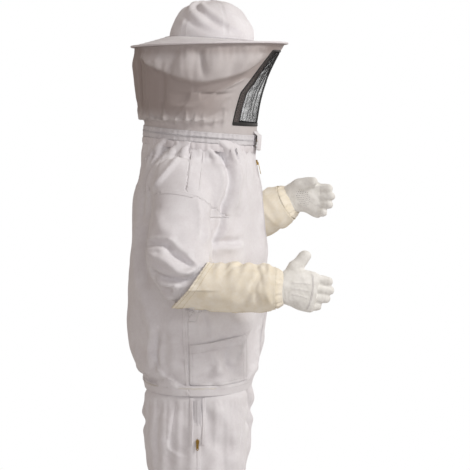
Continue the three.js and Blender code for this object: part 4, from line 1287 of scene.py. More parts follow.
    def pocket(self, sewer: Sewer, side: int) -> None:
        """A patch pocket laid on the front panel: its top edge slopes and gapes a little."""
        name = "left" if side > 0 else "right"
        low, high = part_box(f"hip_pocket_{name}")
        s = np.linspace(0, 1, 34)
        t = np.linspace(0, 1, 30)
        y = high[1] + (low[1] - 22 * MM - high[1]) * s[:, None] + 0 * t[None]
        z = high[2] + (low[2] - 6 * MM - high[2]) * t[None] + 20 * MM * s[:, None] * (1 - t[None])
        grid = np.stack([np.full_like(y, side * 0.6), y, z], -1).reshape(-1, 3)
        hits = [sewer.tree.ray_cast(Vector(q), Vector((-side, 0, 0))) for q in grid]
        at = np.array(
            [h[0] if h[0] is not None else Vector(q) for h, q in zip(hits, grid)]
        ).reshape(34, 30, 3)
        n = np.array([h[1] if h[0] is not None else Vector((side, 0, 0)) for h in hits])
        n = unit(n * np.sign(n[:, :1] * side)).reshape(34, 30, 3)
        gape = 2.4 * MM * np.sin(np.pi * s[:, None]) * smooth(-t[None], -0.3, 0)
        puff = 1.2 * MM * np.sin(np.pi * s[:, None]) ** 0.5 * np.sin(np.pi * t[None]) ** 0.5
        outer = at + n * (1.3 * MM + gape + puff)[..., None]
        inner = at + n * (0.6 * MM + gape + puff * 0.9)[..., None]
        piece = double_sheet(f"patch_pocket_{name}", outer, inner)
        self.own(piece, TWILL, "white_cotton", f"hip_pocket_{name}")
        edges = [outer[2], outer[-3], outer[:, -3]]
        rows = []
        for edge in edges:
            e = along(edge, 3 * MM)
            m = np.tile(unit(n.mean((0, 1))), (len(e), 1))
            rows.append(stitch(e + m * 0.4 * MM, m))
        top = outer[:, 6]
        m = np.tile(unit(n.mean((0, 1))), (len(top), 1))
        rows += [stitch(top + m * 0.4 * MM, m)]
        self.own(gather(f"pocket_stitches_{name}", rows), THREAD, "white_binding")

    def hem_and_collar(self) -> None:
        """The gathered hem facing, its elastic, the collar band and the cuff elastics."""
        turn = circle(240)
        wave = 0.3 * MM * np.sin(60 * turn)

        def ring(z: float, inset: float) -> Array:
            """A gathered ring inside the hem."""
            return jacket_ring(z, inset, turn) + unit(jacket_ring(z, 0, turn)) * wave[:, None]

        facing, elastic = np.linspace(
            HEM + 26 * MM, HEM + 0.5 * MM, 6
        ), np.linspace(HEM + 21 * MM, HEM + 5 * MM, 5)
        for name, inset, thick, heights, finish, slot in (
            ("hem_facing", 2.6 * MM, 1.0 * MM, facing, TWILL, "white_cotton"),
            ("hem_elastic", 1.5 * MM, 0.8 * MM, elastic, ELASTIC, "elastic"),
        ):
            outer, inner = (np.stack([ring(z, at) for z in heights]) for at in (inset, inset + thick))
            piece = self.own(ring_wall(f"soft_{name}", outer, inner), finish, slot, name)
        for name, arm in ARMS.items():
            back = np.linspace(15 * MM, 29 * MM, 5)
            piece = ring_wall(f"soft_cuff_elastic_{name}", arm.rings(back, 3 * MM), arm.rings(back, 4 * MM))
            self.own(piece, ELASTIC, "elastic", f"cuff_elastic_{name}")
        turn = circle(300)
        puff = 1.2 * MM + 0.7 * MM * np.sin(47 * turn) + 0.5 * MM * np.sin(71 * turn + 1)
        heights = np.array([-14, -15.5, -20, -26, -31, -33]) * MM
        rise = np.array([0.2, 0.9, 1.3, 1.3, 0.9, 0.2])
        outer = np.stack(
            [
                neck_ring(h, 0, turn) + unit(neck_ring(0, 0, turn)) * (puff * r)[:, None]
                for h, r in zip(heights, rise)
            ]
        )
        inner = np.stack([neck_ring(h, -0.1 * MM, turn) for h in heights])
        self.own(ring_wall("collar_tape", outer, inner), TAPE, "white_binding", "collar_band")


def arm_length(arm: Arm) -> float:
    """The arm's whole length, a little short of its root."""
    return float(np.linalg.norm(np.diff(arm.line, axis=0), axis=1).sum()) - 1 * MM


# How far down the arm from its root the sleeve is sewn on.
SEAM_DROP = 88.4 * MM


def arm_seam(arm: Arm) -> tuple[Array, Array]:
    """The dropped sleeve seam's plane: a point on the arm's path and the direction down the sleeve."""
    back = arm_length(arm) - SEAM_DROP
    centre, way = arm.place(np.array([back]))
    lean = np.array([0.0, 0.16, 0.0]) if arm.side < 0 else np.array([0.0, 0.1, 0.0])
    return centre[0], unit(way[0] * 1.0 + lean)


# ---------------------------------------------------------------- hood


@dataclass
class Hood(Maker):
    """The hat, its brim, the veil with its net window, and the neck zip's two tapes."""

    body = "hood"
    centre_y: float = -30 * MM
    base: float = 244 * MM
    seat: float = 112 * MM
    rim: float = 198 * MM
    rim_y: float = -24.5 * MM
    rim_z: float = 229 * MM
    window: tuple[tuple[float, float], ...] = ((20, 116), (100, 112), (200, 74))

    def brim(self, t: Array, turn: Array, lift: float = 0.0) -> Array:
        """A point of the brim: the straight line from the crown's seat ring, t = 0, to the rim ring, t = 1."""
        c, s = np.cos(turn), np.sin(turn)
        seat = np.stack(
            [
                0.93 * self.seat * c,
                self.centre_y + self.seat * s,
                self.base + self.seat * s * math.tan(math.radians(3.4)),
            ],
            -1,
        )
        rim = np.stack(
            [
                self.rim * c,
                self.rim_y + self.rim * s,
                self.rim_z - self.rim * s * math.tan(math.radians(1.3)),
            ],
            -1,
        )
        t = np.asarray(t, float)[..., None]
        return seat * (1 - t) + rim * t + np.array([0, 0, lift])

    def veil(self, share: Array, turn: Array, inset: float = 0.0) -> Array:
        """A point of the veil: between the neck's ring and the brim's underside, opening with the square of the height."""
        top = self.brim(
            np.full_like(turn, (self.rim - 5 * MM - self.seat) / (self.rim - self.seat)), turn, -1.1 * MM
        )
        neck = neck_ring(16 * MM, 0, turn)
        share = np.asarray(share, float)[..., None]
        point = np.concatenate(
            [neck[..., :2] + (top - neck)[..., :2] * share**2, (neck + (top - neck) * share)[..., 2:]], -1
        )
        return point - spokes(turn) * inset

    def build(self) -> None:
        """Makes every piece of the hood."""
        self.make_crown()
        self.make_brim()
        self.make_veil()
        self.make_flap()

    def make_crown(self) -> None:
        """The crown: a dome of gores with sunk seams, soft dents, and its sweatband."""
        turn = circle(168)
        up = np.linspace(0, np.pi / 2 * 0.985, 46)
        lat, lon = np.meshgrid(up, turn, indexing="ij")

        def dome(inset: float) -> Array:
            """The dome's points: an ellipsoid, less a sunk line at each gore seam, plus folds that fade to the top and foot."""
            x = 0.93 * (108 * MM - inset) * np.cos(lat) * np.cos(lon)
            y = (108 * MM - inset) * np.cos(lat) * np.sin(lon)
            z = (99 * MM - inset) * np.sin(lat)
            p = np.stack([x, y, z], -1)
            n = unit(p)
            flat = np.sin(2 * lat) ** 0.6
            seams = -1.6 * MM * np.exp(-((np.abs(np.sin(3 * (lon - 0.4))) * 9) ** 2)) * np.cos(lat) ** 0.4
            dents = (
                flat
                * (
                    3.2 * MM * ripple(p.reshape(-1, 3), 21, 0.12)
                    + 1.3 * MM * ripple(p.reshape(-1, 3), 22, 0.05)
                ).reshape(lat.shape)
            )
            for side in (1, -1):
                # two long folds that run from the front foot up and back over each side
                for bend, width, height in (
                    (0.30, 0.08, 5.2), (0.62, 0.07, -5.0), (0.95, 0.08, 4.6), (1.3, 0.06, -3.4)
                ):
                    away = np.angle(
                        np.exp(1j * (lon - (-np.pi / 2 + side * (0.5 + 1.5 * (lat - 0.2) + bend))))
                    )
                    dents = (
                        dents
                        + height * MM * np.exp(
                            -((away / (width * 2.2)) ** 2)
                        ) * smooth(lat, 0.05, 0.4) * (1 - smooth(lat, 1.0, 1.4))
                    )
            p = p + n * (seams + dents)[..., None]
            tilt = math.radians(3.4)
            q = np.stack(
                [
                    p[..., 0],
                    p[..., 1] * math.cos(tilt) - p[..., 2] * math.sin(tilt),
                    p[..., 1] * math.sin(tilt) + p[..., 2] * math.cos(tilt),
                ],
                -1,
            )
            return q + np.array([0, self.centre_y, self.base + 1.2 * MM])

        outer, inner = dome(0), dome(1.4 * MM)
        crown = ring_wall("crown_cloth", outer, inner)
        self.own(crown, TWILL, "white_cotton", "hat_crown")
        top = outer[-1].mean(0)
        button_turn = circle(24)
        rings = [
            top + np.stack([r * np.cos(button_turn), r * np.sin(button_turn), np.full(24, h)], -1)
            for r, h in ((9e-3, -1.6e-3), (9e-3, 0.2e-3), (7e-3, 1.4e-3), (3e-3, 2.0e-3), (0.2e-3, 2.1e-3))
        ]
        points, faces = closed_tube(np.stack(rings))
        self.own(tidy(raw_mesh("crown_button", points, faces)), TAPE, "white_binding")
        rows = []
        for k in range(6):
            lon0 = 0.4 + k * np.pi / 3
            column = int(round(lon0 / (2 * np.pi) * 168)) % 168
            for off in (-2, 2):
                line = outer[2:40, (column + off) % 168]
                rows.append(
                    stitch(along(line, 3 * MM), unit(along(line, 3 * MM) - [0, self.centre_y, self.base]))
                )
        foot = along(np.concatenate([outer[2], outer[2, :1]]), 3 * MM)
        rows.append(stitch(foot, unit((foot - [0, self.centre_y, self.base]) * [1, 1, 0.1])))
        self.own(gather("crown_stitches", rows), THREAD, "white_binding")
        low = np.stack(
            [
                np.stack(
                    [
                        0.93 * r * np.cos(turn),
                        self.centre_y + r * np.sin(turn),
                        self.base + 1.5 * MM + h + r * np.sin(turn) * 0.059,
                    ],
                    -1,
                )
                for r, h in ((105e-3, 1e-3), (103.5e-3, 6e-3), (100e-3, 22e-3), (98e-3, 29e-3))
            ]
        )
        high = low - spokes(turn)[None] * 1.1 * MM
        self.own(ring_wall("sweatband", low, high), TAPE, "white_binding", "hat_sweatband")

    def make_brim(self) -> None:
        """The brim: two cloths quilted in rings, slightly waved, with a bound wired edge."""
        turn = circle(192)
        shares = np.concatenate([[-0.1, 0.0], np.linspace(0.04, 1, 34)])
        wave = (1.3 * MM * np.sin(3 * turn + 0.6) + 0.8 * MM * np.sin(5 * turn + 2))

        def face(lift: float, sign: int) -> Array:
            """One face: the brim's plane, waved, sunk a little along every quilting ring."""
            rows = []
            for t in shares:
                quilt = -0.5 * MM * math.exp(-((((t * 7) % 1) - 0.5) / 0.1) ** 2) if 0.1 < t < 0.96 else 0.0
                ring = self.brim(np.full_like(turn, t), turn)
                ring[:, 2] += lift + sign * quilt + wave * max(t, 0) * (1 - t) * 2
                rows.append(ring)
            return np.stack(rows)

        top = face(0.75 * MM, 1)
        brim = self.own(ring_wall("brim_cloth", top, face(-0.75 * MM, -1)), TWILL, "white_cotton", "hat_brim")
        rows = []
        for t in (0.5 / 7, 1.5 / 7, 2.5 / 7, 3.5 / 7, 4.5 / 7, 5.5 / 7, 6.5 / 7):
            k = int(np.argmin(np.abs(shares - t)))
            ring = along(np.concatenate([top[k], top[k, :1]]), 4 * MM)
            rows.append(stitch(ring + [0, 0, 0.3 * MM], np.tile([0.0, 0, 1], (len(ring), 1))))
        self.own(gather("brim_stitches", rows), THREAD, "white_binding")
        bias = circle(12)
        section = np.stack([3.6 * MM * np.cos(bias), 2.7 * MM * np.sin(bias)], -1)
        rings = []
        big = circle(288)
        for a, b in section:
            r = self.rim + 0.4 * MM + a
            pucker = 0.25 * MM * np.sin(90 * big)
            rings.append(
                np.stack(
                    [
                        (r + pucker) * np.cos(big),
                        self.rim_y + (r + pucker) * np.sin(big),
                        self.rim_z - r * np.sin(big) * math.tan(math.radians(1.3)) + b,
                    ],
                    -1,
                )
            )
        edge = tidy(raw_mesh("brim_edge_tape", np.stack(rings), grid_faces(12, 288, True, True)))
        self.own(edge, TAPE, "white_binding", "brim_binding")
        DRESS.dress(frame["nodes"]["brim_hoop"], STEEL)

    def edge_turn(self, z: Array) -> Array:
        """The window's edge as an angle from the front at a height: where its half width meets the veil's ring."""
        rows = np.array(self.window) * MM
        half = np.interp(z, rows[:, 0], rows[:, 1])
        radius = np.interp(z, [0, 0.1, 0.16, 0.23], [0.146, 0.155, 0.17, 0.192])
        return np.arcsin(np.clip(half / radius, 0, 0.98))

    def make_veil(self) -> None:
        """The veil: gathered cloth all round, with a net window bound in black."""
        columns, front = 300, 76
        shares = np.concatenate([[-0.062], np.linspace(0, 0.018, 2), np.linspace(0.05, 1, 46)])
        low, high = int(
            np.argmin(np.abs(shares * 0.215 + 0.002 - 0.022))
        ), int(np.argmin(np.abs(shares * 0.215 + 0.003 - 0.2)))
        rows = []
        for share in shares:
            z = max(share, 0) * 0.212 + 4 * MM
            edge = float(self.edge_turn(np.clip(z, 0.02, 0.2)))
            ahead = np.linspace(-edge, edge, front, endpoint=False)
            behind = np.linspace(edge, 2 * np.pi - edge, columns - front, endpoint=False)
            turn = np.concatenate([ahead, behind]) - np.pi / 2
            rows.append(
                neck_ring(3 * MM, 0, turn) if share < 0 else self.veil(np.full_like(turn, share), turn)
            )
        grid = np.stack(rows)
        count = len(shares)
        cloth = tidy(raw_mesh("veil_skin", grid, grid_faces(count, columns, False, True)), False)
        turn = np.arctan2(grid[..., 1], grid[..., 0])
        fromback = np.abs(np.angle(np.exp(1j * (turn - np.pi / 2))))
        column = np.arange(columns)
        away = np.minimum(np.abs(column - front / 2), columns - np.abs(column - front / 2)) - front / 2
        free = smooth(away, 0, 14)[None] * np.ones((count, 1))
        free = free * smooth(shares, 0.02, 0.12)[:, None] * (1 - smooth(shares, 0.93, 1))[:, None]
        Drape(slack=0.07, swell=1.2, cap=15 * MM, weight=0.5, stiff=0.15).run(cloth, (1 - free).ravel(), 5)
        q = points_of(cloth).reshape(count, columns, 3)
        out = unit(np.stack([grid[..., 0], grid[..., 1] + 0.02, 0 * grid[..., 0]], -1))
        s = shares[:, None]
        # pointed gathers rise from the neck seam, each narrowing to its tip
        rng = np.random.default_rng(8)
        lift = np.zeros((count, columns))
        for k in range(38):
            at = -np.pi + (k + rng.uniform(-0.25, 0.25)) * 2 * np.pi / 38
            width, tall, high_mm = rng.uniform(0.06, 0.11), rng.uniform(0.16, 0.38), rng.uniform(6, 12)
            gap = np.abs(np.angle(np.exp(1j * (turn - at - rng.uniform(-0.3, 0.3) * s))))
            tip = np.clip(1 - np.maximum(s, 0) / tall, 0, 1)
            lift += (
                high_mm * MM * np.clip(1 - gap / (width * tip + 0.012), 0, 1) ** 1.2
                * smooth(s, -0.01, 0.05) * tip**0.5
            )
        for at, width, depth in (
            (1.15, 0.10, 9), (1.42, 0.07, -9), (1.75, 0.09, 9), (2.02, 0.06, -8), (2.35, 0.1, 8),
            (2.62, 0.06, -7), (0.78, 0.1, 8), (1.0, 0.05, -7),
        ):
            gap = np.angle(np.exp(1j * (turn - at - 0.25 * (s - 0.5))))
            lift += (
                depth * MM * np.exp(-((gap / width) ** 2)) * smooth(s, 0.1, 0.4)
                * (1 - smooth(s, 0.75, 0.97))
            )
        # painted shade on the veil, kept as a point value: it darkens the cloth from a little above the neck upwards,
        # most at the back, where the back falls into shade and the dark inside shows through
        painted_shade = smooth(s, 0.12, 0.3) * (0.75 + 0.25 * smooth(fromback, 1.8, 0.6))
        for side in (1, -1):
            # the doubled upper cloth hangs in a swag below the brim; above its slanting edge the painted shade is taken
            # away, and below it the painted shade stays
            ahead_side = np.angle(np.exp(1j * (turn - (0 if side > 0 else np.pi)))) * side * -1
            edge = 0.60 + 0.26 * np.clip(np.abs(ahead_side - 0.12) / 1.0, 0, 1) ** 1.5
            d = s - edge
            swag = np.where(d > 0, 1 - smooth(d, 0.02, 0.34), np.exp(-((d / 0.028) ** 2)))
            mask = 1 - smooth(np.abs(ahead_side - 0.05), 0.85, 1.2)
            lift += 11 * MM * swag * mask * (1 - smooth(s, 0.80, 0.93))
            painted_shade = painted_shade * (1 - mask * smooth(d, -0.03, 0.015))
            for at, tilt, width, depth in (
                (-0.55, -0.5, 0.07, 6), (-0.3, 0.35, 0.06, -8), (-0.12, 0.3, 0.08, 5),
                (0.12, -0.25, 0.045, -8), (0.3, 0.2, 0.1, 6), (0.55, 0.3, 0.05, -6), (0.7, 0.5, 0.06, 6),
            ):
                gap = ahead_side - at - tilt * (s - 0.8)
                lift += (
                    depth * MM * np.exp(-((gap / width) ** 2)) * smooth(s, 0.6, 0.75)
                    * (1 - smooth(s, 0.88, 0.98)) * mask
                )
            # a second, softer fold climbs from the neck to the window's corner
            rise = s - (0.30 + 0.30 * smooth(ahead_side, -0.1, 0.85))
            lift += (
                8 * MM * np.where(rise < 0, np.exp(rise / 0.08), np.exp(-((rise / 0.03) ** 2)))
                * smooth(ahead_side, -0.5, -0.1) * (1 - smooth(ahead_side, 0.75, 0.95))
            )
            # the painted shade is lightened towards the front below the climbing fold
            painted_shade = painted_shade * (1 - 0.75 * smooth(ahead_side, 0.2, 0.7) * mask * (rise < 0.02))
        q = q + out * (lift * free)[..., None]
        # painted shadow of the brim: a darker band just under it; the swag's painted shade ends at the very top
        painted_shade = np.clip(painted_shade * (1 - smooth(s, 0.95, 1.0)) + 0.55 * smooth(s, 0.86, 0.93), 0, 1)
        faces = grid_faces(count, columns, False, True)
        row, col = faces[:, 0] // columns, faces[:, 0] % columns
        is_net = (row >= low) & (row < high) & (col < front)
        cloth_piece = raw_mesh("veil_cloth", q, faces[~is_net])
        # the painted-shade value goes onto the cloth's points for its material
        value = cloth_piece.data.attributes.new("painted_shade", "FLOAT", "POINT")
        value.data.foreach_set("value", np.broadcast_to(painted_shade, (count, columns)).ravel().astype(np.float32))
        self.own(thicken(tidy(cloth_piece), 0.9 * MM), LAWN, "white_cotton", "veil_panel")
        bpy.data.objects.remove(cloth)
        LOG.info("veil: %d faces", len(faces))
        self.make_net(q[low : high + 1, : front + 1])
        self.make_neck_zip()

    def make_net(self, patch: Array) -> None:
        """The face net: fine strands woven on two diagonals, a folded black binding, and creases where it was packed.
        """
        rows, columns = patch.shape[:2]
        v, u = np.linspace(0, 1, rows)[:, None], np.linspace(-1, 1, columns)[None]
        out = unit(np.stack([patch[..., 0], patch[..., 1], 0 * patch[..., 0]], -1))
        press = (
            -4 * MM * np.exp(-(((np.abs(u) - 0.55 + 0.2 * v) / 0.05) ** 2))
            + 3 * MM * np.exp(-(((np.abs(u) - 0.2 - 0.25 * v) / 0.05) ** 2))
        )
        patch = patch + out * (1.5 * press * np.sin(np.pi * v) * (1 - np.abs(u) ** 6))[..., None]

        def at(a: Array, b: Array) -> Array:
            """The patch's point at shares a across and b up, blended from its four neighbours."""
            x, y = np.clip(a, 0, 1) * (columns - 1), np.clip(b, 0, 1) * (rows - 1)
            i, j = np.minimum(x.astype(int), columns - 2), np.minimum(y.astype(int), rows - 2)
            f, g = (x - i)[..., None], (y - j)[..., None]
            low = patch[j, i] * (1 - f) + patch[j, i + 1] * f
            return low * (1 - g) + (patch[j + 1, i] * (1 - f) + patch[j + 1, i + 1] * f) * g

        parts, radius, slope = [], 0.2 * MM, 0.75
        for sign in (1, -1):
            k = np.arange(-62, 84)[:, None] / 84
            first, last = np.clip(-k / slope, 0, 1), np.clip((1 - k) / slope, 0, 1)
            keep = (last - first)[:, 0] > 0.02
            b = (first + (last - first) * np.linspace(0, 1, 34)[None])[keep]
            a = (k[keep] + slope * b) if sign > 0 else 1 - (k[keep] + slope * b)
            line = at(a, b)
            way = unit(np.gradient(line, axis=1))
            up = unit(np.stack([line[..., 0], line[..., 1], 0 * line[..., 0]], -1))
            across = unit(np.cross(up, way))
            angle = circle(3)
            tube = (
                line[:, :, None]
                + radius * (
                    up[:, :, None] * np.cos(angle)[:, None] + across[:, :, None] * np.sin(angle)[:, None]
                )
            )
            tube = tube + up[:, :, None] * sign * radius * 0.5
            quads = grid_faces(34, 3, False, True)
            lots = (quads[None] + (34 * 3) * np.arange(len(tube))[:, None, None]).reshape(-1, 4)
            parts.append((tube.reshape(-1, 3), lots))
        net = gather("window_net", parts)
        self.own(net, NET, "black_net", "face_mesh")
        edge = np.concatenate([patch[0], patch[1:, -1], patch[-1, -2::-1], patch[-2:0:-1, 0], patch[:1, 0]])
        line = along(edge, 3 * MM)
        normal = unit(line * [1, 1, 0])
        foot = along(patch[0], 3 * MM)
        level = unit(foot * [1, 1, 0])
        parts = [
            ribbon(line + normal * 0.5 * MM, normal, 3.4 * MM, 0.8 * MM),
            ribbon(foot + level * 0.7 * MM + [0, 0, 2.5 * MM], level, 9 * MM, 0.9 * MM),
        ]
        # where the net was folded in its packet it lies double, in narrow dark creases
        for a0, a1, a2 in (
            (0.10, 0.14, 0.06),
            (0.26, 0.18, 0.30),
            (0.74, 0.82, 0.70),
            (0.90, 0.86, 0.94),
            (0.40, 0.36, 0.44),
            (0.60, 0.64, 0.56),
        ):
            b = np.linspace(0.02, 0.97, 40)
            a = (1 - b) ** 2 * a0 + 2 * b * (1 - b) * a1 + b**2 * a2
            way = at(a, b)
            up = unit(way * [1, 1, 0])
            parts.append(ribbon(way + up * 0.4 * MM, up, 1.6 * MM, 0.4 * MM))
        self.own(gather("window_binding", parts), NET_TAPE, "black_net", "mesh_binding")
        self.own(
            gather("window_stitches", seam(foot + [0, 0, 2.5 * MM], level, (-3 * MM, 3 * MM), 1.4 * MM)),
            NET,
            "black_net",
        )

    def make_neck_zip(self) -> None:
        """The neck zip: two ribbed tapes with moulded teeth, and the gathered casing inside the veil's foot."""
        turn = circle(320)
        out = spokes(turn)
        for name, sign, body in (("neck_zip_tape_upper", 1, "hood"), ("neck_zip_tape_lower", -1, "jacket")):
            sag = 0.45 * MM * np.sin(64 * turn) + 0.35 * MM * np.sin(41 * turn + 1)
            heights = np.array([1.2, 2.5, 7, 12.5, 13.2]) * MM * sign
            outer = np.stack([neck_ring(h, -1.5 * MM, turn) + out * sag[:, None] for h in heights])
            inner = np.stack([neck_ring(h, -0.5 * MM, turn) + out * sag[:, None] for h in heights])
            tape = ring_wall(name.replace("neck_zip", "soft"), outer, inner)
            self.own(tape, ZIP, "zip_tape", name, body=body)
            count = 420
            tooth = (np.arange(count) + (0.25 if sign > 0 else 0.75)) * 2 * np.pi / count
            ring = neck_ring(0.9 * MM * sign, -2.1 * MM, tooth)
            radial = spokes(tooth)
            axis = np.array([0, -math.sin(NECK_TILT), math.cos(NECK_TILT)])
            side = unit(np.cross(axis, radial))
            corner = (
                np.array([[i, j, k] for i in (-1, 1) for j in (-1, 1) for k in (-1, 1)], float)
                * [0.45 * MM, 0.9 * MM, 1.3 * MM]
            )
            p = (
                ring[:, None] + side[:, None] * corner[None, :, :1] + radial[:, None] * corner[None, :, 1:2]
                + axis * corner[None, :, 2:]
            )
            quad = np.array(
                [[0, 1, 3, 2], [4, 6, 7, 5], [0, 4, 5, 1], [2, 3, 7, 6], [0, 2, 6, 4], [1, 5, 7, 3]]
            )
            teeth = gather(
                f"zip_teeth_{'upper' if sign > 0 else 'lower'}",
                [(p.reshape(-1, 3), (quad[None] + 8 * np.arange(count)[:, None, None]).reshape(-1, 4))],
            )
            self.own(teeth, ZIP, "zip_tape", body=body)
            rows = neck_ring(10.5 * MM * sign, -1.7 * MM, turn)
            self.own(
                gather(f"zip_stitches_{'upper' if sign > 0 else 'lower'}", [stitch(rows, out)]),
                THREAD,
                "white_binding",
                body=body,
            )
        ruche = 0.7 * MM * np.sin(80 * turn)
        heights = np.array([8, 9, 12.5, 16, 17]) * MM
        bulge = np.array([0, 0.6, 1.0, 0.6, 0]) * MM
        outer = np.stack([neck_ring(h, 2.4 * MM, turn) for h in heights])
        inner = np.stack(
            [
                neck_ring(h, 3.6 * MM + b, turn) + out * (ruche * (b / MM))[:, None]
                for h, b in zip(heights, bulge)
            ]
        )
        self.own(ring_wall("neck_casing", outer, inner), ELASTIC, "elastic", "veil_neck_elastic")

    def make_flap(self) -> None:
        """The throat flap: a soft doubled tab over the place where the two sliders meet."""
        half = math.radians(17)
        turn = np.linspace(-half, half, 40) - np.pi / 2
        heights = np.array([23, 18, 12, 6, -2, -10, -18, -24, -26]) * MM
        radius = np.array([146.6, 149, 157.2, 157.6, 157.9, 158, 157.9, 157.6, 157.2]) * MM
        puff = np.array([0.2, 0.5, 0.9, 1, 1, 1, 1, 0.8, 0.4])

        def face(shift: float) -> Array:
            """One face of the flap: rings round the neck's axis, with rounded lower corners and small ripples."""
            rows = []
            for h, r, b in zip(heights, radius, puff):
                droop = 6 * MM * (np.abs(turn + np.pi / 2) / half) ** 6 * (1 if h < 0 else 0)
                size = r + shift * b + 0.4 * MM * np.sin(turn * 31 + h * 300)
                x, y, z = size * np.cos(turn), size * np.sin(turn), np.full_like(turn, h) + droop
                c, s = math.cos(NECK_TILT), math.sin(NECK_TILT)
                ring = np.stack([x, y * c - z * s, y * s + z * c], -1)
                rows.append(ring)
            return np.stack(rows)

        outer, inner = face(0.5 * MM), face(-0.8 * MM)
        flap = double_sheet("throat_flap_cloth", outer, inner)
        self.own(flap, TWILL, "white_cotton", "throat_flap", body="flap")
        edge = np.concatenate([outer[1:8, 2], outer[7, 3:-3], outer[7:0:-1, -3]])
        line = along(edge, 3 * MM)
        normal = unit(line * [1, 1, 0])
        self.own(
            gather("flap_stitches", [stitch(line + normal * 0.4 * MM, normal)]),
            THREAD,
            "white_binding",
            body="flap",
        )


# ---------------------------------------------------------------- trousers

LEG_HALF = profile([(-664, 92), (-800, 92), (-930, 88), (-1150, 82), (-1330, 76), (-1372, 66), (-1396, 66)])
LEG_DEPTH = profile(
    [(-664, 133), (-760, 131), (-930, 108), (-1150, 96), (-1330, 92), (-1372, 66), (-1396, 66)]
)
LEG_X = 96.5 * MM


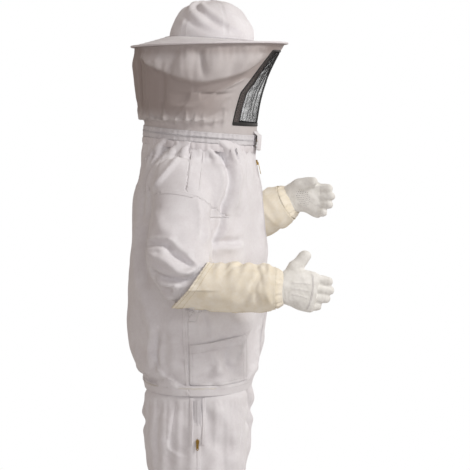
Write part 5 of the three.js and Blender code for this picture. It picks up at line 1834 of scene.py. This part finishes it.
@dataclass
class Trousers(Maker):
    """The trousers: two draped legs from one skin, with side zips, pocket bags, waistband and ankle elastic."""

    body = "trousers"
    voxel: float = 8.5 * MM
    wall: float = 1.2 * MM
    folds: tuple[Fold, ...] = (
        # the pocket bag's outline, which shows through behind the side zip
        Fold(((48, -668), (60, -720), (66, -775), (40, -795), (18, -800)), 7, 5, Shape.STEP),
        Fold(((60, -690), (78, -760), (70, -800)), 14, 4, Shape.RIDGE),
        Fold(((-60, -665), (-82, -720), (-100, -770)), 16, 6, Shape.RIDGE),
        Fold(((-30, -665), (-38, -720), (-52, -790)), 14, 5, Shape.VALLEY),
        Fold(((-112, -660), (-116, -730), (-112, -790)), 12, 4, Shape.STEP),
        Fold(((100, -665), (106, -760), (98, -860)), 20, 5, Shape.RIDGE),
        Fold(((-105, -800), (-60, -840), (-20, -850)), 15, 5, Shape.RIDGE),
        Fold(((-90, -870), (-40, -905), (30, -900)), 18, 6, Shape.VALLEY),
        Fold(((80, -880), (40, -960), (-20, -990)), 20, 7, Shape.RIDGE),
        Fold(((-80, -960), (-20, -1010), (50, -1020)), 18, 7, Shape.VALLEY),
        Fold(((70, -1040), (10, -1090), (-60, -1100)), 20, 7, Shape.RIDGE),
        Fold(((-70, -1160), (0, -1200), (60, -1190)), 18, 6, Shape.VALLEY),
        Fold(((60, -1240), (0, -1275), (-55, -1265)), 16, 7, Shape.RIDGE),
        Fold(((-60, -1300), (0, -1322), (60, -1312)), 12, 7, Shape.VALLEY),
    )
    face_folds: tuple[Fold, ...] = (
        Fold(((60, -660), (90, -760), (80, -880)), 18, 6, Shape.RIDGE),
        Fold(((-60, -660), (-95, -770), (-85, -880)), 18, 6, Shape.RIDGE),
        Fold(((20, -672), (60, -720), (120, -745)), 14, 6, Shape.VALLEY),
        Fold(((-20, -672), (-60, -715), (-120, -735)), 14, 6, Shape.VALLEY),
        Fold(((50, -900), (100, -960), (150, -980)), 18, 7, Shape.RIDGE),
        Fold(((-50, -920), (-100, -975), (-150, -985)), 18, 7, Shape.RIDGE),
        Fold(((150, -1060), (100, -1110), (50, -1120)), 18, 7, Shape.VALLEY),
        Fold(((-150, -1050), (-100, -1100), (-50, -1115)), 18, 7, Shape.VALLEY),
        Fold(((50, -1220), (100, -1262), (150, -1260)), 15, 7, Shape.RIDGE),
        Fold(((-50, -1225), (-100, -1268), (-150, -1262)), 15, 7, Shape.RIDGE),
    )

    @staticmethod
    def hip_ring(z: float, inset: float, turn: Array = TURN) -> Array:
        """The hips' section: it narrows from the hem's inside up to the waist."""
        share = float(smooth(z, HEM + 5 * MM, WAIST))
        back, front = 143 * MM, float(front_line(HEM))
        wide = (184.5 * (1 - share) + 166 * share) * MM
        deep = ((back - front) / 2 - 5.5 * MM) * (1 - share) + 112 * MM * share
        return oval(0, (back + front) / 2, z, wide - inset, deep - inset, 2.35, turn)

    @staticmethod
    def leg_ring(side: int, z: float, inset: float, turn: Array = TURN) -> Array:
        """A leg's section at a height."""
        y = 4 * MM * (1 - float(smooth(HEM - z, 5 * MM, 255 * MM)))
        return oval(side * LEG_X, y, z, float(LEG_HALF(z)) - inset, float(LEG_DEPTH(z)) - inset, 2.2, turn)

    def build(self) -> None:
        """Makes the legs and everything sewn on them."""
        tubes = [
            np.stack([self.hip_ring(z, 2.4 * MM) for z in np.linspace(WAIST + 20 * MM, HEM - 14 * MM, 16)])
        ]
        heights = np.concatenate(
            [
                np.linspace(HEM - 5 * MM, FLOOR + 70 * MM, 26),
                np.linspace(FLOOR + 60 * MM, FLOOR - 20 * MM, 10),
            ]
        )
        for side in (-1, 1):
            tubes.append(np.stack([self.leg_ring(side, z, 0.6 * MM) for z in heights]))
        skin = melt("trouser_skin", tubes, self.voxel, 5)
        cut(skin, [0, 0, WAIST], [0, 0, 1])
        cut(skin, [0, 0, FLOOR], [0, 0, -1])
        p = points_of(skin)
        top = smooth(p[:, 2], HEM - 20 * MM, HEM - 2 * MM)
        foot = 1 - smooth(p[:, 2], FLOOR + 28 * MM, FLOOR + 55 * MM)
        middle = (1 - smooth(np.abs(p[:, 0]), 8 * MM, 20 * MM)) * smooth(p[:, 2], -0.72, -0.68)
        Drape(slack=0.06, swell=0.8, cap=12 * MM, weight=0.6).run(
            skin, np.clip(np.max([top, foot, middle], axis=0), 0, 1), 17
        )
        refine(skin)
        p, n = points_of(skin), normals_of(skin)
        soft = (
            smooth(-p[:, 2], -HEM + 4 * MM, -HEM + 40 * MM)
            * smooth(p[:, 2], FLOOR + 26 * MM, FLOOR + 60 * MM)
        )
        small = ripple(p, 31, 0.10) * 1.8 * MM + ripple(p, 32, 0.05) * 0.7 * MM
        ankle = (
            1.6 * MM * np.sin(26 * np.arctan2(p[:, 1], np.abs(p[:, 0]) - LEG_X))
            * (1 - smooth(np.abs(p[:, 2] - FLOOR - 30 * MM), 6 * MM, 34 * MM))
        )
        set_points(skin, p + n * (small * soft + ankle)[:, None])

        def below(q: Array) -> Array:
            """From 0 at the jacket's hem to 1 just under it."""
            return smooth(-q[:, 2], -HEM + 2 * MM, -HEM + 22 * MM)

        def outside(q: Array) -> Array:
            """The same, on the legs' outer sides only."""
            return below(q) * smooth(np.abs(q[:, 0]), LEG_X * 0.8, LEG_X * 1.1)

        crease(skin, self.folds, "side", outside)
        crease(skin, self.face_folds, "face", below)
        centre = face_centres(skin)
        sewer = Sewer([skin])
        for name, side in (("left", 1), ("right", -1)):
            piece = thicken(pick(skin, f"cloth_trouser_leg_{name}", side * centre[:, 0] > 0), self.wall)
            self.own(piece, TWILL, "white_cotton", f"trouser_leg_{name}")
            self.sew(sewer, name, side)
            self.ankle(name, side)
        bpy.data.objects.remove(skin)
        self.waist()

    def sew(self, sewer: Sewer, name: str, side: int) -> None:
        """The side seam, the placket strip below the zip and the pocket bag's stitches."""
        x, way = side * 0.5, [-side, 0, 0]
        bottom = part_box(f"side_zip_tape_{name}")[0][2]
        tapes, rows = [], []
        a, b = sewer.lay(
            flow(
                [
                    (x, -0.012, bottom - 2 * MM),
                    (x, -0.012, -0.9),
                    (x, -0.006, -1.15),
                    (x, 0, FLOOR + 4 * MM),
                ],
                60,
            ),
            way,
        )
        tapes.append(ribbon(a, b, 10 * MM, 0.9 * MM))
        rows += seam(a, b, (-3.8 * MM, 3.8 * MM), 0.8 * MM)
        for y in (-0.024, 0.006):
            a, b = sewer.lay(
                np.array([(x, y, HEM - 4 * MM), (x, y - 0.001, -0.72), (x, y + 0.001, bottom)]), way
            )
            tapes.append(ribbon(a + b * 0.4 * MM, b, 9 * MM, 1.4 * MM))
            rows += seam(a, b, (-3 * MM, 3 * MM), 1.8 * MM)
        a, b = sewer.lay(
            flow(
                [
                    (x, 0.040, HEM - 8 * MM),
                    (x, 0.052, -0.72),
                    (x, 0.052, -0.76),
                    (x, 0.03, -0.775),
                    (x, 0.012, -0.778),
                ],
                50,
            ),
            way,
        )
        rows += seam(a, b, (0.0,), 0.4 * MM)
        self.own(gather(f"leg_seams_{name}", tapes), TWILL, "white_cotton", f"side_pocket_{name}")
        self.own(gather(f"leg_stitches_{name}", rows), THREAD, "white_binding")

    def ankle(self, name: str, side: int) -> None:
        """The elastic inside the ankle hem."""
        turn = circle(180)
        heights = np.linspace(FLOOR + 22 * MM, FLOOR + 4 * MM, 5)
        outer = np.stack([self.leg_ring(side, z, 3 * MM, turn) for z in heights])
        inner = np.stack([self.leg_ring(side, z, 4 * MM, turn) for z in heights])
        piece = ring_wall(f"soft_ankle_elastic_{name}", outer, inner)
        self.own(piece, ELASTIC, "elastic", f"ankle_elastic_{name}")

    def waist(self) -> None:
        """The waistband, gathered over its elastic."""
        turn = circle(420)
        out = spokes(turn)
        heights = np.linspace(WAIST, WAIST - 38 * MM, 9)
        bulge = np.sin(np.linspace(0, np.pi, 9))
        ruche = 0.9 * MM * np.sin(84 * turn) + 0.5 * MM * np.sin(55 * turn + 2)
        outer = np.stack(
            [
                self.hip_ring(z, -0.6 * MM, turn) + out * ((ruche * b + 0.8 * MM * b))[:, None]
                for z, b in zip(heights, bulge)
            ]
        )
        inner = np.stack([self.hip_ring(z, 0.6 * MM, turn) for z in heights])
        for name, low, high, finish, node, slot in (
            ("waistband_cloth", outer, inner, TWILL, "waistband", "white_cotton"),
            (
                "soft_waist_elastic",
                np.stack([self.hip_ring(z, 4 * MM, turn) for z in heights[1:-1]]),
                np.stack([self.hip_ring(z, 5.2 * MM, turn) for z in heights[1:-1]]),
                ELASTIC,
                "waist_elastic",
                "elastic",
            ),
        ):
            piece = self.own(ring_wall(name, low, high), finish, slot, node)


# ---------------------------------------------------------------- gloves


@dataclass
class Glove(Maker):
    """A glove: leather hand, canvas wrist band and gauntlet.

    Attributes:
        name: left or right.
        arm: the arm that it is on.
        palm: the side of the palm in the glove's own frame, 1 or -1.
        turn: how far the hand turns in from the forearm, in degrees.
        droop: how far the hand droops from the wrist, in degrees.
        thumb: the thumb tip's place in the hand's frame, in millimetres, with its depth to the palm's side.
    """

    name: str
    arm: Arm
    palm: int
    turn: float
    droop: float
    thumb: tuple[float, float, float]

    def world(self, p: Array) -> Array:
        """Points from the glove's frame, with +X down the forearm and +Z to the thumb, to the suit's."""
        up = unit(np.array([0, 0, 1.0]) - self.arm.reach * self.arm.reach[2])
        side = np.cross(up, self.arm.reach)
        return self.arm.wrist + p[..., :1] * self.arm.reach + p[..., 1:2] * side + p[..., 2:] * up

    def hand(self, p: Array) -> Array:
        """Points from the hand's frame to the suit's: the hand starts inside the band, droops along the palm and turns about Z."""
        a = self.palm * math.radians(self.turn)
        c, s = math.cos(a), math.sin(a)
        bend = math.radians(self.droop) * smooth(p[..., 0], 12 * MM, 90 * MM)
        ahead = p[..., 0] - 14 * MM
        x, z = 14 * MM + ahead * np.cos(bend) + p[
            ..., 2
        ] * np.sin(bend), p[..., 2] * np.cos(bend) - ahead * np.sin(bend)
        q = np.stack([x * c - p[..., 1] * s + 6 * MM, x * s + p[..., 1] * c, z], -1)
        return self.world(q)

    @property
    def body(self) -> str:
        """The body that the glove's pieces ride on."""
        return f"glove_{self.name}"

    def build(self) -> None:
        """Makes the glove's pieces."""
        self.make_gauntlet()
        self.make_hand()

    def make_gauntlet(self) -> None:
        """The gauntlet: a canvas tube with a slanting gathered mouth and crossways wrinkles, and the folded wrist band."""
        turn = circle(150)
        steps = np.linspace(0, 1, 84)
        c, s = np.cos(turn)[None], np.sin(turn)[None]
        mouth = -(210 * MM - 59 * MM * s * math.tan(math.radians(36))) + 3 * MM
        x = mouth + (2 * MM - mouth) * steps[:, None]
        taper = smooth(x, -30 * MM, 4 * MM)
        radius = 58 * MM - 6.5 * MM * taper
        local = np.stack([x, radius * c, radius * s], -1)
        rng = np.random.default_rng(40 + self.palm)
        lift = np.zeros_like(x)
        for _ in range(26):
            at, around, wide, long = rng.uniform(0.04, 0.96), rng.uniform(
                -np.pi, np.pi
            ), rng.uniform(5, 10) * MM, rng.uniform(0.35, 1.0)
            high = rng.uniform(1.5, 4.2) * MM * rng.choice([1, -1])
            slant = rng.uniform(-0.03, 0.03)
            gap = np.angle(np.exp(1j * (turn - around)))[None]
            d = (x - (mouth * (1 - at))) - slant * gap
            lift += high * np.exp(-((d / wide) ** 2)) * np.exp(-((gap / long) ** 2))
        # scallops on the top, where the canvas is drawn up
        for k in range(5):
            d = x + (165 - 34 * k) * MM - 10 * MM * c
            lift += 3.4 * MM * np.exp(-((d / (9 * MM)) ** 2)) * smooth(s, 0.1, 0.9)
        lift += 1.2 * MM * ripple(local.reshape(-1, 3), 50, 0.045).reshape(x.shape)
        near_mouth = 1 - smooth(steps[:, None], 0.0, 0.10)
        lift = lift * (1 - 0.7 * near_mouth) + near_mouth * 1.1 * MM * np.sin(30 * turn)[None]
        lift = np.clip(lift, -5 * MM, 6.5 * MM) * (1 - smooth(steps[:, None], 0.93, 1.0) * 0.8)
        hug = self.hug(local)
        outward = np.stack([0 * x, np.broadcast_to(c, x.shape), np.broadcast_to(s, x.shape)], -1)
        outer = local + outward * (lift + hug)[..., None]
        inner = outer - outward * 1.4 * MM
        canvas = ring_wall(f"canvas_gauntlet_{self.name}", self.world(outer), self.world(inner))
        self.own(canvas, CANVAS, "cream_canvas", f"gauntlet_{self.name}")
        rows = []
        for k, lift_row in ((3, 0.3), (8, 0.3)):
            line = self.world(np.concatenate([outer[k], outer[k, :1]]))
            centre = self.world(np.array([0, 0, 0.0]))
            axis = self.arm.reach
            rel = line - centre
            normal = unit(rel - (rel @ axis)[:, None] * axis)
            rows.append(stitch(line + normal * lift_row * MM, normal, 4.6 * MM, 3.2 * MM))
        seam_line = self.world(outer[4:-3, 112])
        rel = seam_line - self.arm.wrist
        normal = unit(rel - (rel @ self.arm.reach)[:, None] * self.arm.reach)
        fold = [ribbon(seam_line, normal, 8 * MM, 1.2 * MM)]
        rows += seam(seam_line, normal, (-3 * MM, 3 * MM), 1.2 * MM)
        self.own(gather(f"gauntlet_seam_{self.name}", fold), CANVAS, "cream_canvas")
        self.own(gather(f"gauntlet_stitches_{self.name}", rows), CREAM_THREAD, "cream_canvas")
        hem_outer = self.world(inner[1:8] - outward[1:8] * 0.3 * MM)
        hem_inner = self.world(inner[1:8] - outward[1:8] * 1.3 * MM)
        self.own(
            ring_wall(f"mouth_elastic_{self.name}", hem_outer, hem_inner),
            ELASTIC,
            "elastic",
            f"gauntlet_elastic_{self.name}",
        )
        # the wrist band leaves the gauntlet, swells in a soft fold and closes on the hand
        places = np.array([-10, -5, -2, 1, 4, 7, 9.5, 12, 15, 18, 20]) * MM
        high = np.array([45.6, 45.8, 46.6, 47.6, 48.2, 47.4, 46.4, 45.2, 43.4, 42, 41]) * MM
        wide = high * np.array([0.84, 0.88, 0.95, 1.0, 0.96, 0.90, 0.84, 0.79, 0.75, 0.72, 0.70])
        pleat = 1.4 * MM * np.sin(14 * turn) + 0.9 * MM * np.sin(23 * turn + 1)
        shape = np.sin(np.linspace(0, np.pi, len(places))) * smooth(places, -4 * MM, 7 * MM)
        forward = places[:, None] + 1.5 * MM * np.sin(3 * turn + self.palm)
        grow = pleat * shape[:, None]

        def ring(inset: float) -> Array:
            """The band's sections, drawn in by an inset."""
            across = (wide[:, None] - inset + grow) * np.cos(turn)
            return np.stack([forward, across, (high[:, None] - inset + grow) * np.sin(turn)], -1)

        band = ring_wall(f"canvas_band_{self.name}", self.world(ring(0)), self.world(ring(1.4 * MM)))
        self.own(band, CANVAS, "cream_canvas", f"wrist_band_{self.name}")

    def hug(self, local: Array) -> Array:
        """How much the gauntlet's mouth widens to clear the elbow's bulk: it follows the sleeve where that is larger."""
        back = -local[..., 0]
        bulk = 8 * MM * smooth(back, self.arm.straight * 0.8, self.arm.straight + 0.06)
        return np.where(local[..., 2] > 0, bulk * 0.6, -bulk * 1.1)

    def tube(self, start: Array, end: Array, radius: float, tip: float, flat: float = 1.0) -> Array:
        """A finger: round sections from start to end that swell at the middle and close in a round tip.

        Returns:
            Rings by sides by 3, in the hand's frame.
        """
        axis = unit(end - start)
        length = np.linalg.norm(end - start)
        t = np.concatenate([np.linspace(0, 1, 14), 1 + (tip / length) * np.sin(np.linspace(0.25, 1.52, 7))])
        size = np.concatenate(
            [
                np.full(14, radius) * (1 + 0.05 * np.sin(np.linspace(0, 9, 14))),
                tip * np.cos(np.linspace(0.25, 1.52, 7)) + 0.2 * MM,
            ]
        )
        size[:14] = size[:14] + (tip - radius) * np.linspace(0, 1, 14)
        turn = circle(20)
        side = unit(np.cross(axis, [0, 0, 1.0]) if abs(axis[2]) < 0.8 else np.cross(axis, [1.0, 0, 0]))
        up = np.cross(side, axis)
        centre = start + axis * (t * length)[:, None]
        return (
            centre[:, None]
            + size[:, None, None] * (side * flat * np.cos(turn)[:, None] + up * np.sin(turn)[:, None])
        )

    def make_hand(self) -> None:
        """The leather hand: palm, four fingers and thumb melted into one skin, wrinkled at wrist and joints, with seams."""
        sides = circle(40)
        stations = (
            (-4, 34, 1.13), (0, 34.5, 1.15), (14, 38.6, 1.14), (28, 43, 1.1), (44, 48.5, 1.08),
            (60, 50.5, 1.0), (71, 51, 0.9), (87, 50, 0.74), (96, 47, 0.6),
        )
        palm = np.stack(
            [
                np.stack(
                    [np.full_like(sides, x * MM), 23 * t * MM * np.cos(sides), w * MM * np.sin(sides)], -1
                )
                for x, w, t in stations
            ]
        )
        tubes = [palm]
        tips = (0.95, 1.0, 0.96, 0.84)
        for i, share in enumerate(tips):
            high = 51 * (0.72 - 0.48 * i)
            end = np.array([142 * share - 11.5, self.palm * (7 + 2 * i), high * 0.86 - 0.5 * i]) * MM
            start = np.array([76, self.palm * 1, high]) * MM
            tubes.append(self.tube(start, end, 12.9 * MM, 11.1 * MM, 0.9))
        x, y, z = self.thumb
        root, tip = np.array([30, self.palm * 6, 24]) * MM, np.array([x, self.palm * y, z]) * MM
        tubes.append(self.tube(root, tip, 15.5 * MM, 12 * MM))
        middle = root * 0.45 + tip * 0.55
        tubes.append(self.tube(np.array([12, self.palm * 4, 6]) * MM, middle, 20 * MM, 15 * MM))
        skin = melt(f"leather_hand_{self.name}", tubes, 2.6 * MM, 4)
        p, n = points_of(skin), normals_of(skin)
        wrist = 1 - smooth(p[:, 0], 6 * MM, 52 * MM)
        lift = (
            1.0 * MM * wrist * np.sin(p[:, 0] / (2.6 * MM) + 3 * ripple(p, 61, 0.03))
            * np.abs(ripple(p, 62, 0.05))
        )
        lift += 0.7 * MM * ripple(p, 63, 0.034) + 0.18 * MM * ripple(p, 64, 0.012)
        back = smooth(-self.palm * p[:, 1], 4 * MM, 12 * MM)
        for y in (-14, 2, 18):
            # three raised darts on the back of the hand
            lift += (
                1.1 * MM * back
                * np.exp(-(((p[:, 2] - y * MM - (p[:, 0] - 60 * MM) * y / 160) / (1.8 * MM)) ** 2))
                * smooth(p[:, 0], 28 * MM, 36 * MM) * (1 - smooth(p[:, 0], 70 * MM, 80 * MM))
            )
        knuckle = p[:, 0] - 78 * MM - 6 * MM * np.cos(p[:, 2] / (30 * MM))
        lift += 1.0 * MM * back * np.exp(-((knuckle / (2.2 * MM)) ** 2)) * (np.abs(p[:, 2]) < 45 * MM)
        for x in (100, 118):
            lift -= 0.8 * MM * np.exp(-(((p[:, 0] - x * MM) / (2.0 * MM)) ** 2))
        set_points(skin, p + n * lift[:, None])
        cut(skin, [-1 * MM, 0, 0], [-1, 0, 0])
        sewer = Sewer([skin])
        rows, vents = [], []
        way = [0, self.palm, 0]
        for y in (-14, 2, 18):
            a, b = sewer.lay(
                np.array(
                    [
                        (30 * MM, -self.palm * 0.06, y * MM * 0.85),
                        (76 * MM, -self.palm * 0.06, y * MM * 1.08),
                    ]
                ),
                way,
                2 * MM,
            )
            rows.append(stitch(a + b * 0.3 * MM, b, 3.2 * MM, 2.2 * MM, 0.7 * MM))
        z = np.linspace(-42, 44, 30)
        arc = np.stack([(78 + 6 * np.cos(z / 30)) * MM, np.full(30, -self.palm * 0.06), z * MM], 1)
        a, b = sewer.lay(arc, way, 2 * MM)
        rows += seam(a, b, (-1.2 * MM, 1.6 * MM), 0.3 * MM, 3.2 * MM)
        for i in range(4):
            high = 51 * (0.72 - 0.48 * i)
            line = np.array(
                [
                    (86 * MM, self.palm * 0.06, high * MM),
                    (132 * tips[i] * MM, self.palm * 0.06, high * 1.06 * MM),
                ]
            )
            a, b = sewer.lay(line, [0, -self.palm, 0], 2 * MM)
            if len(a):
                rows.append(stitch(a + b * 0.2 * MM, b, 3.2 * MM, 2.2 * MM, 0.6 * MM))
        around = np.linspace(0, 2 * np.pi, 90)
        cuff = np.stack([np.full(90, 3 * MM), 0.05 * np.cos(around), 0.06 * np.sin(around)], 1)
        a, b = sewer.snap(cuff, 2.5 * MM)
        rows.append(stitch(a + b * 0.3 * MM, b, 3.4 * MM, 2.4 * MM, 0.7 * MM))
        gx, gz = np.meshgrid(np.linspace(40, 72, 9), np.linspace(-22, 22, 9), indexing="ij")
        for x, zz in zip(gx.ravel(), gz.ravel()):
            hit = sewer.tree.ray_cast(Vector((x * MM, self.palm * 0.06, zz * MM)), Vector((0, -self.palm, 0)))
            if hit[0] is not None and (x - 56) ** 2 / 300 + zz**2 / 560 < 1:
                t = circle(8)
                disc = (
                    np.array(hit[0])
                    + np.stack(
                        [0.75 * MM * np.cos(t), np.full(8, self.palm * 0.12 * MM), 0.75 * MM * np.sin(t)],
                        -1,
                    )
                )
                under = disc - np.array([0, self.palm * 0.5 * MM, 0])
                vents.append(
                    (
                        np.concatenate([disc, under]),
                        np.concatenate(
                            [grid_faces(2, 8, False, True), [[0, 1, 2, 3], [0, 3, 4, 7], [4, 5, 6, 7]]]
                        ),
                    )
                )
        set_points(skin, self.hand(points_of(skin)))
        self.own(thicken(tidy(skin), 1.0 * MM), GOAT, "goat_leather", f"glove_hand_{self.name}")
        stitches = gather(f"hand_stitches_{self.name}", [(self.hand(q), f) for q, f in rows])
        self.own(stitches, THREAD, "goat_leather")
        holes = gather(f"palm_vents_{self.name}", [(self.hand(q), f) for q, f in vents])
        self.own(holes, DARK, "goat_leather")
        LOG.info("glove %s: %d faces", self.name, len(skin.data.polygons))


# ---------------------------------------------------------------- metal, stage, camera


def dress_zips() -> None:
    """Gives the zips' own parts their metal and tape."""
    for name, node in frame["nodes"].items():
        if "slider" in name or "pull" in name:
            DRESS.dress(node, BRASS)
        elif "zip_tape" in name:
            DRESS.dress(node, ZIP)


@dataclass
class Studio:
    """The camera, the pale floor and the soft light."""

    distance: float = 4.0
    yaw: float = 4.0
    eye_height: float = 1.5
    aim: tuple[float, float, float] = (0.0, -0.090, -0.258)
    lens: float = 119.05

    def camera(self) -> None:
        """A level camera at the wearer's right, a little to the front."""
        turn = math.radians(self.yaw)
        eye = Vector(
            (
                -self.distance * math.cos(turn),
                self.aim[1] - self.distance * math.sin(turn),
                FLOOR + self.eye_height,
            )
        )
        data = bpy.data.cameras.new("camera")
        data.lens, data.sensor_width = self.lens, 36.0
        data.clip_start, data.clip_end = 0.1, 100
        camera = bpy.data.objects.new("camera", data)
        camera.location = eye
        camera.rotation_euler = (Vector(self.aim) - eye).to_track_quat("-Z", "Y").to_euler()
        bpy.context.scene.collection.objects.link(camera)
        bpy.context.scene.camera = camera

    def area(
        self, name: str, place: tuple[float, float, float], size: float, power: float, colour: str
    ) -> None:
        """A square soft light that faces the suit's middle."""
        data = bpy.data.lights.new(name, "AREA")
        data.energy, data.size, data.color = power, size, linear(colour)[:3]
        light = bpy.data.objects.new(name, data)
        light.location = place
        light.rotation_euler = (Vector((0, 0, -0.35)) - Vector(place)).to_track_quat("-Z", "Y").to_euler()
        bpy.context.scene.collection.objects.link(light)

    def build(self) -> None:
        """Sets up the floor, the lights and the white surround."""
        turn = circle(96)
        disc = np.stack([1.5 * np.cos(turn), 1.5 * np.sin(turn), np.full(96, FLOOR - 1 * MM)], -1)
        floor = raw_mesh("studio_floor", disc, [list(range(96))])
        DRESS.dress(
            floor, Finish("studio_paper", "#EDEDEC", "#E6E6E5", Pattern.SMOOTH, 2 * MM, 0.0, 0.9, cloud=0.4)
        )
        self.area("key", (-1.7, -2.9, 2.1), 1.1, 84, "#FFFDFB")
        self.area("fill", (-3.6, -1.0, 0.2), 2.4, 24, "#F4F6FF")
        self.area("far", (2.4, -2.0, 0.8), 2.0, 22, "#FFFFFF")
        self.area("back", (1.2, 3.4, 1.2), 2.6, 9, "#FFF3EA")
        world = bpy.data.worlds.new("surround")
        world.use_nodes = True
        tree = world.node_tree
        tree.nodes.clear()
        path = tree.nodes.new("ShaderNodeLightPath")
        dim, white, mix, out = (
            tree.nodes.new(k)
            for k in (
                "ShaderNodeBackground",
                "ShaderNodeBackground",
                "ShaderNodeMixShader",
                "ShaderNodeOutputWorld",
            )
        )
        dim.inputs["Color"].default_value = linear("#F2E4DC")
        dim.inputs["Strength"].default_value = 0.38
        white.inputs["Color"].default_value = (1, 1, 1, 1)
        white.inputs["Strength"].default_value = 1.0
        tree.links.new(path.outputs["Is Camera Ray"], mix.inputs[0])
        tree.links.new(dim.outputs[0], mix.inputs[1])
        tree.links.new(white.outputs[0], mix.inputs[2])
        tree.links.new(mix.outputs[0], out.inputs[0])
        bpy.context.scene.world = world
        bpy.context.scene.view_settings.view_transform = "Standard"


def main() -> None:
    """Builds the suit from the camera outwards."""
    logging.basicConfig(level=logging.INFO, format="%(message)s")
    studio = Studio()
    studio.camera()
    Hood().build()
    Jacket().build()
    Trousers().build()
    Glove("right", RIGHT, 1, 9, 9, (62, 12, 84)).build()
    Glove("left", LEFT, -1, 7, 27, (86, 24, 52)).build()
    dress_zips()
    studio.build()


if __name__ == "__main__":
    main()
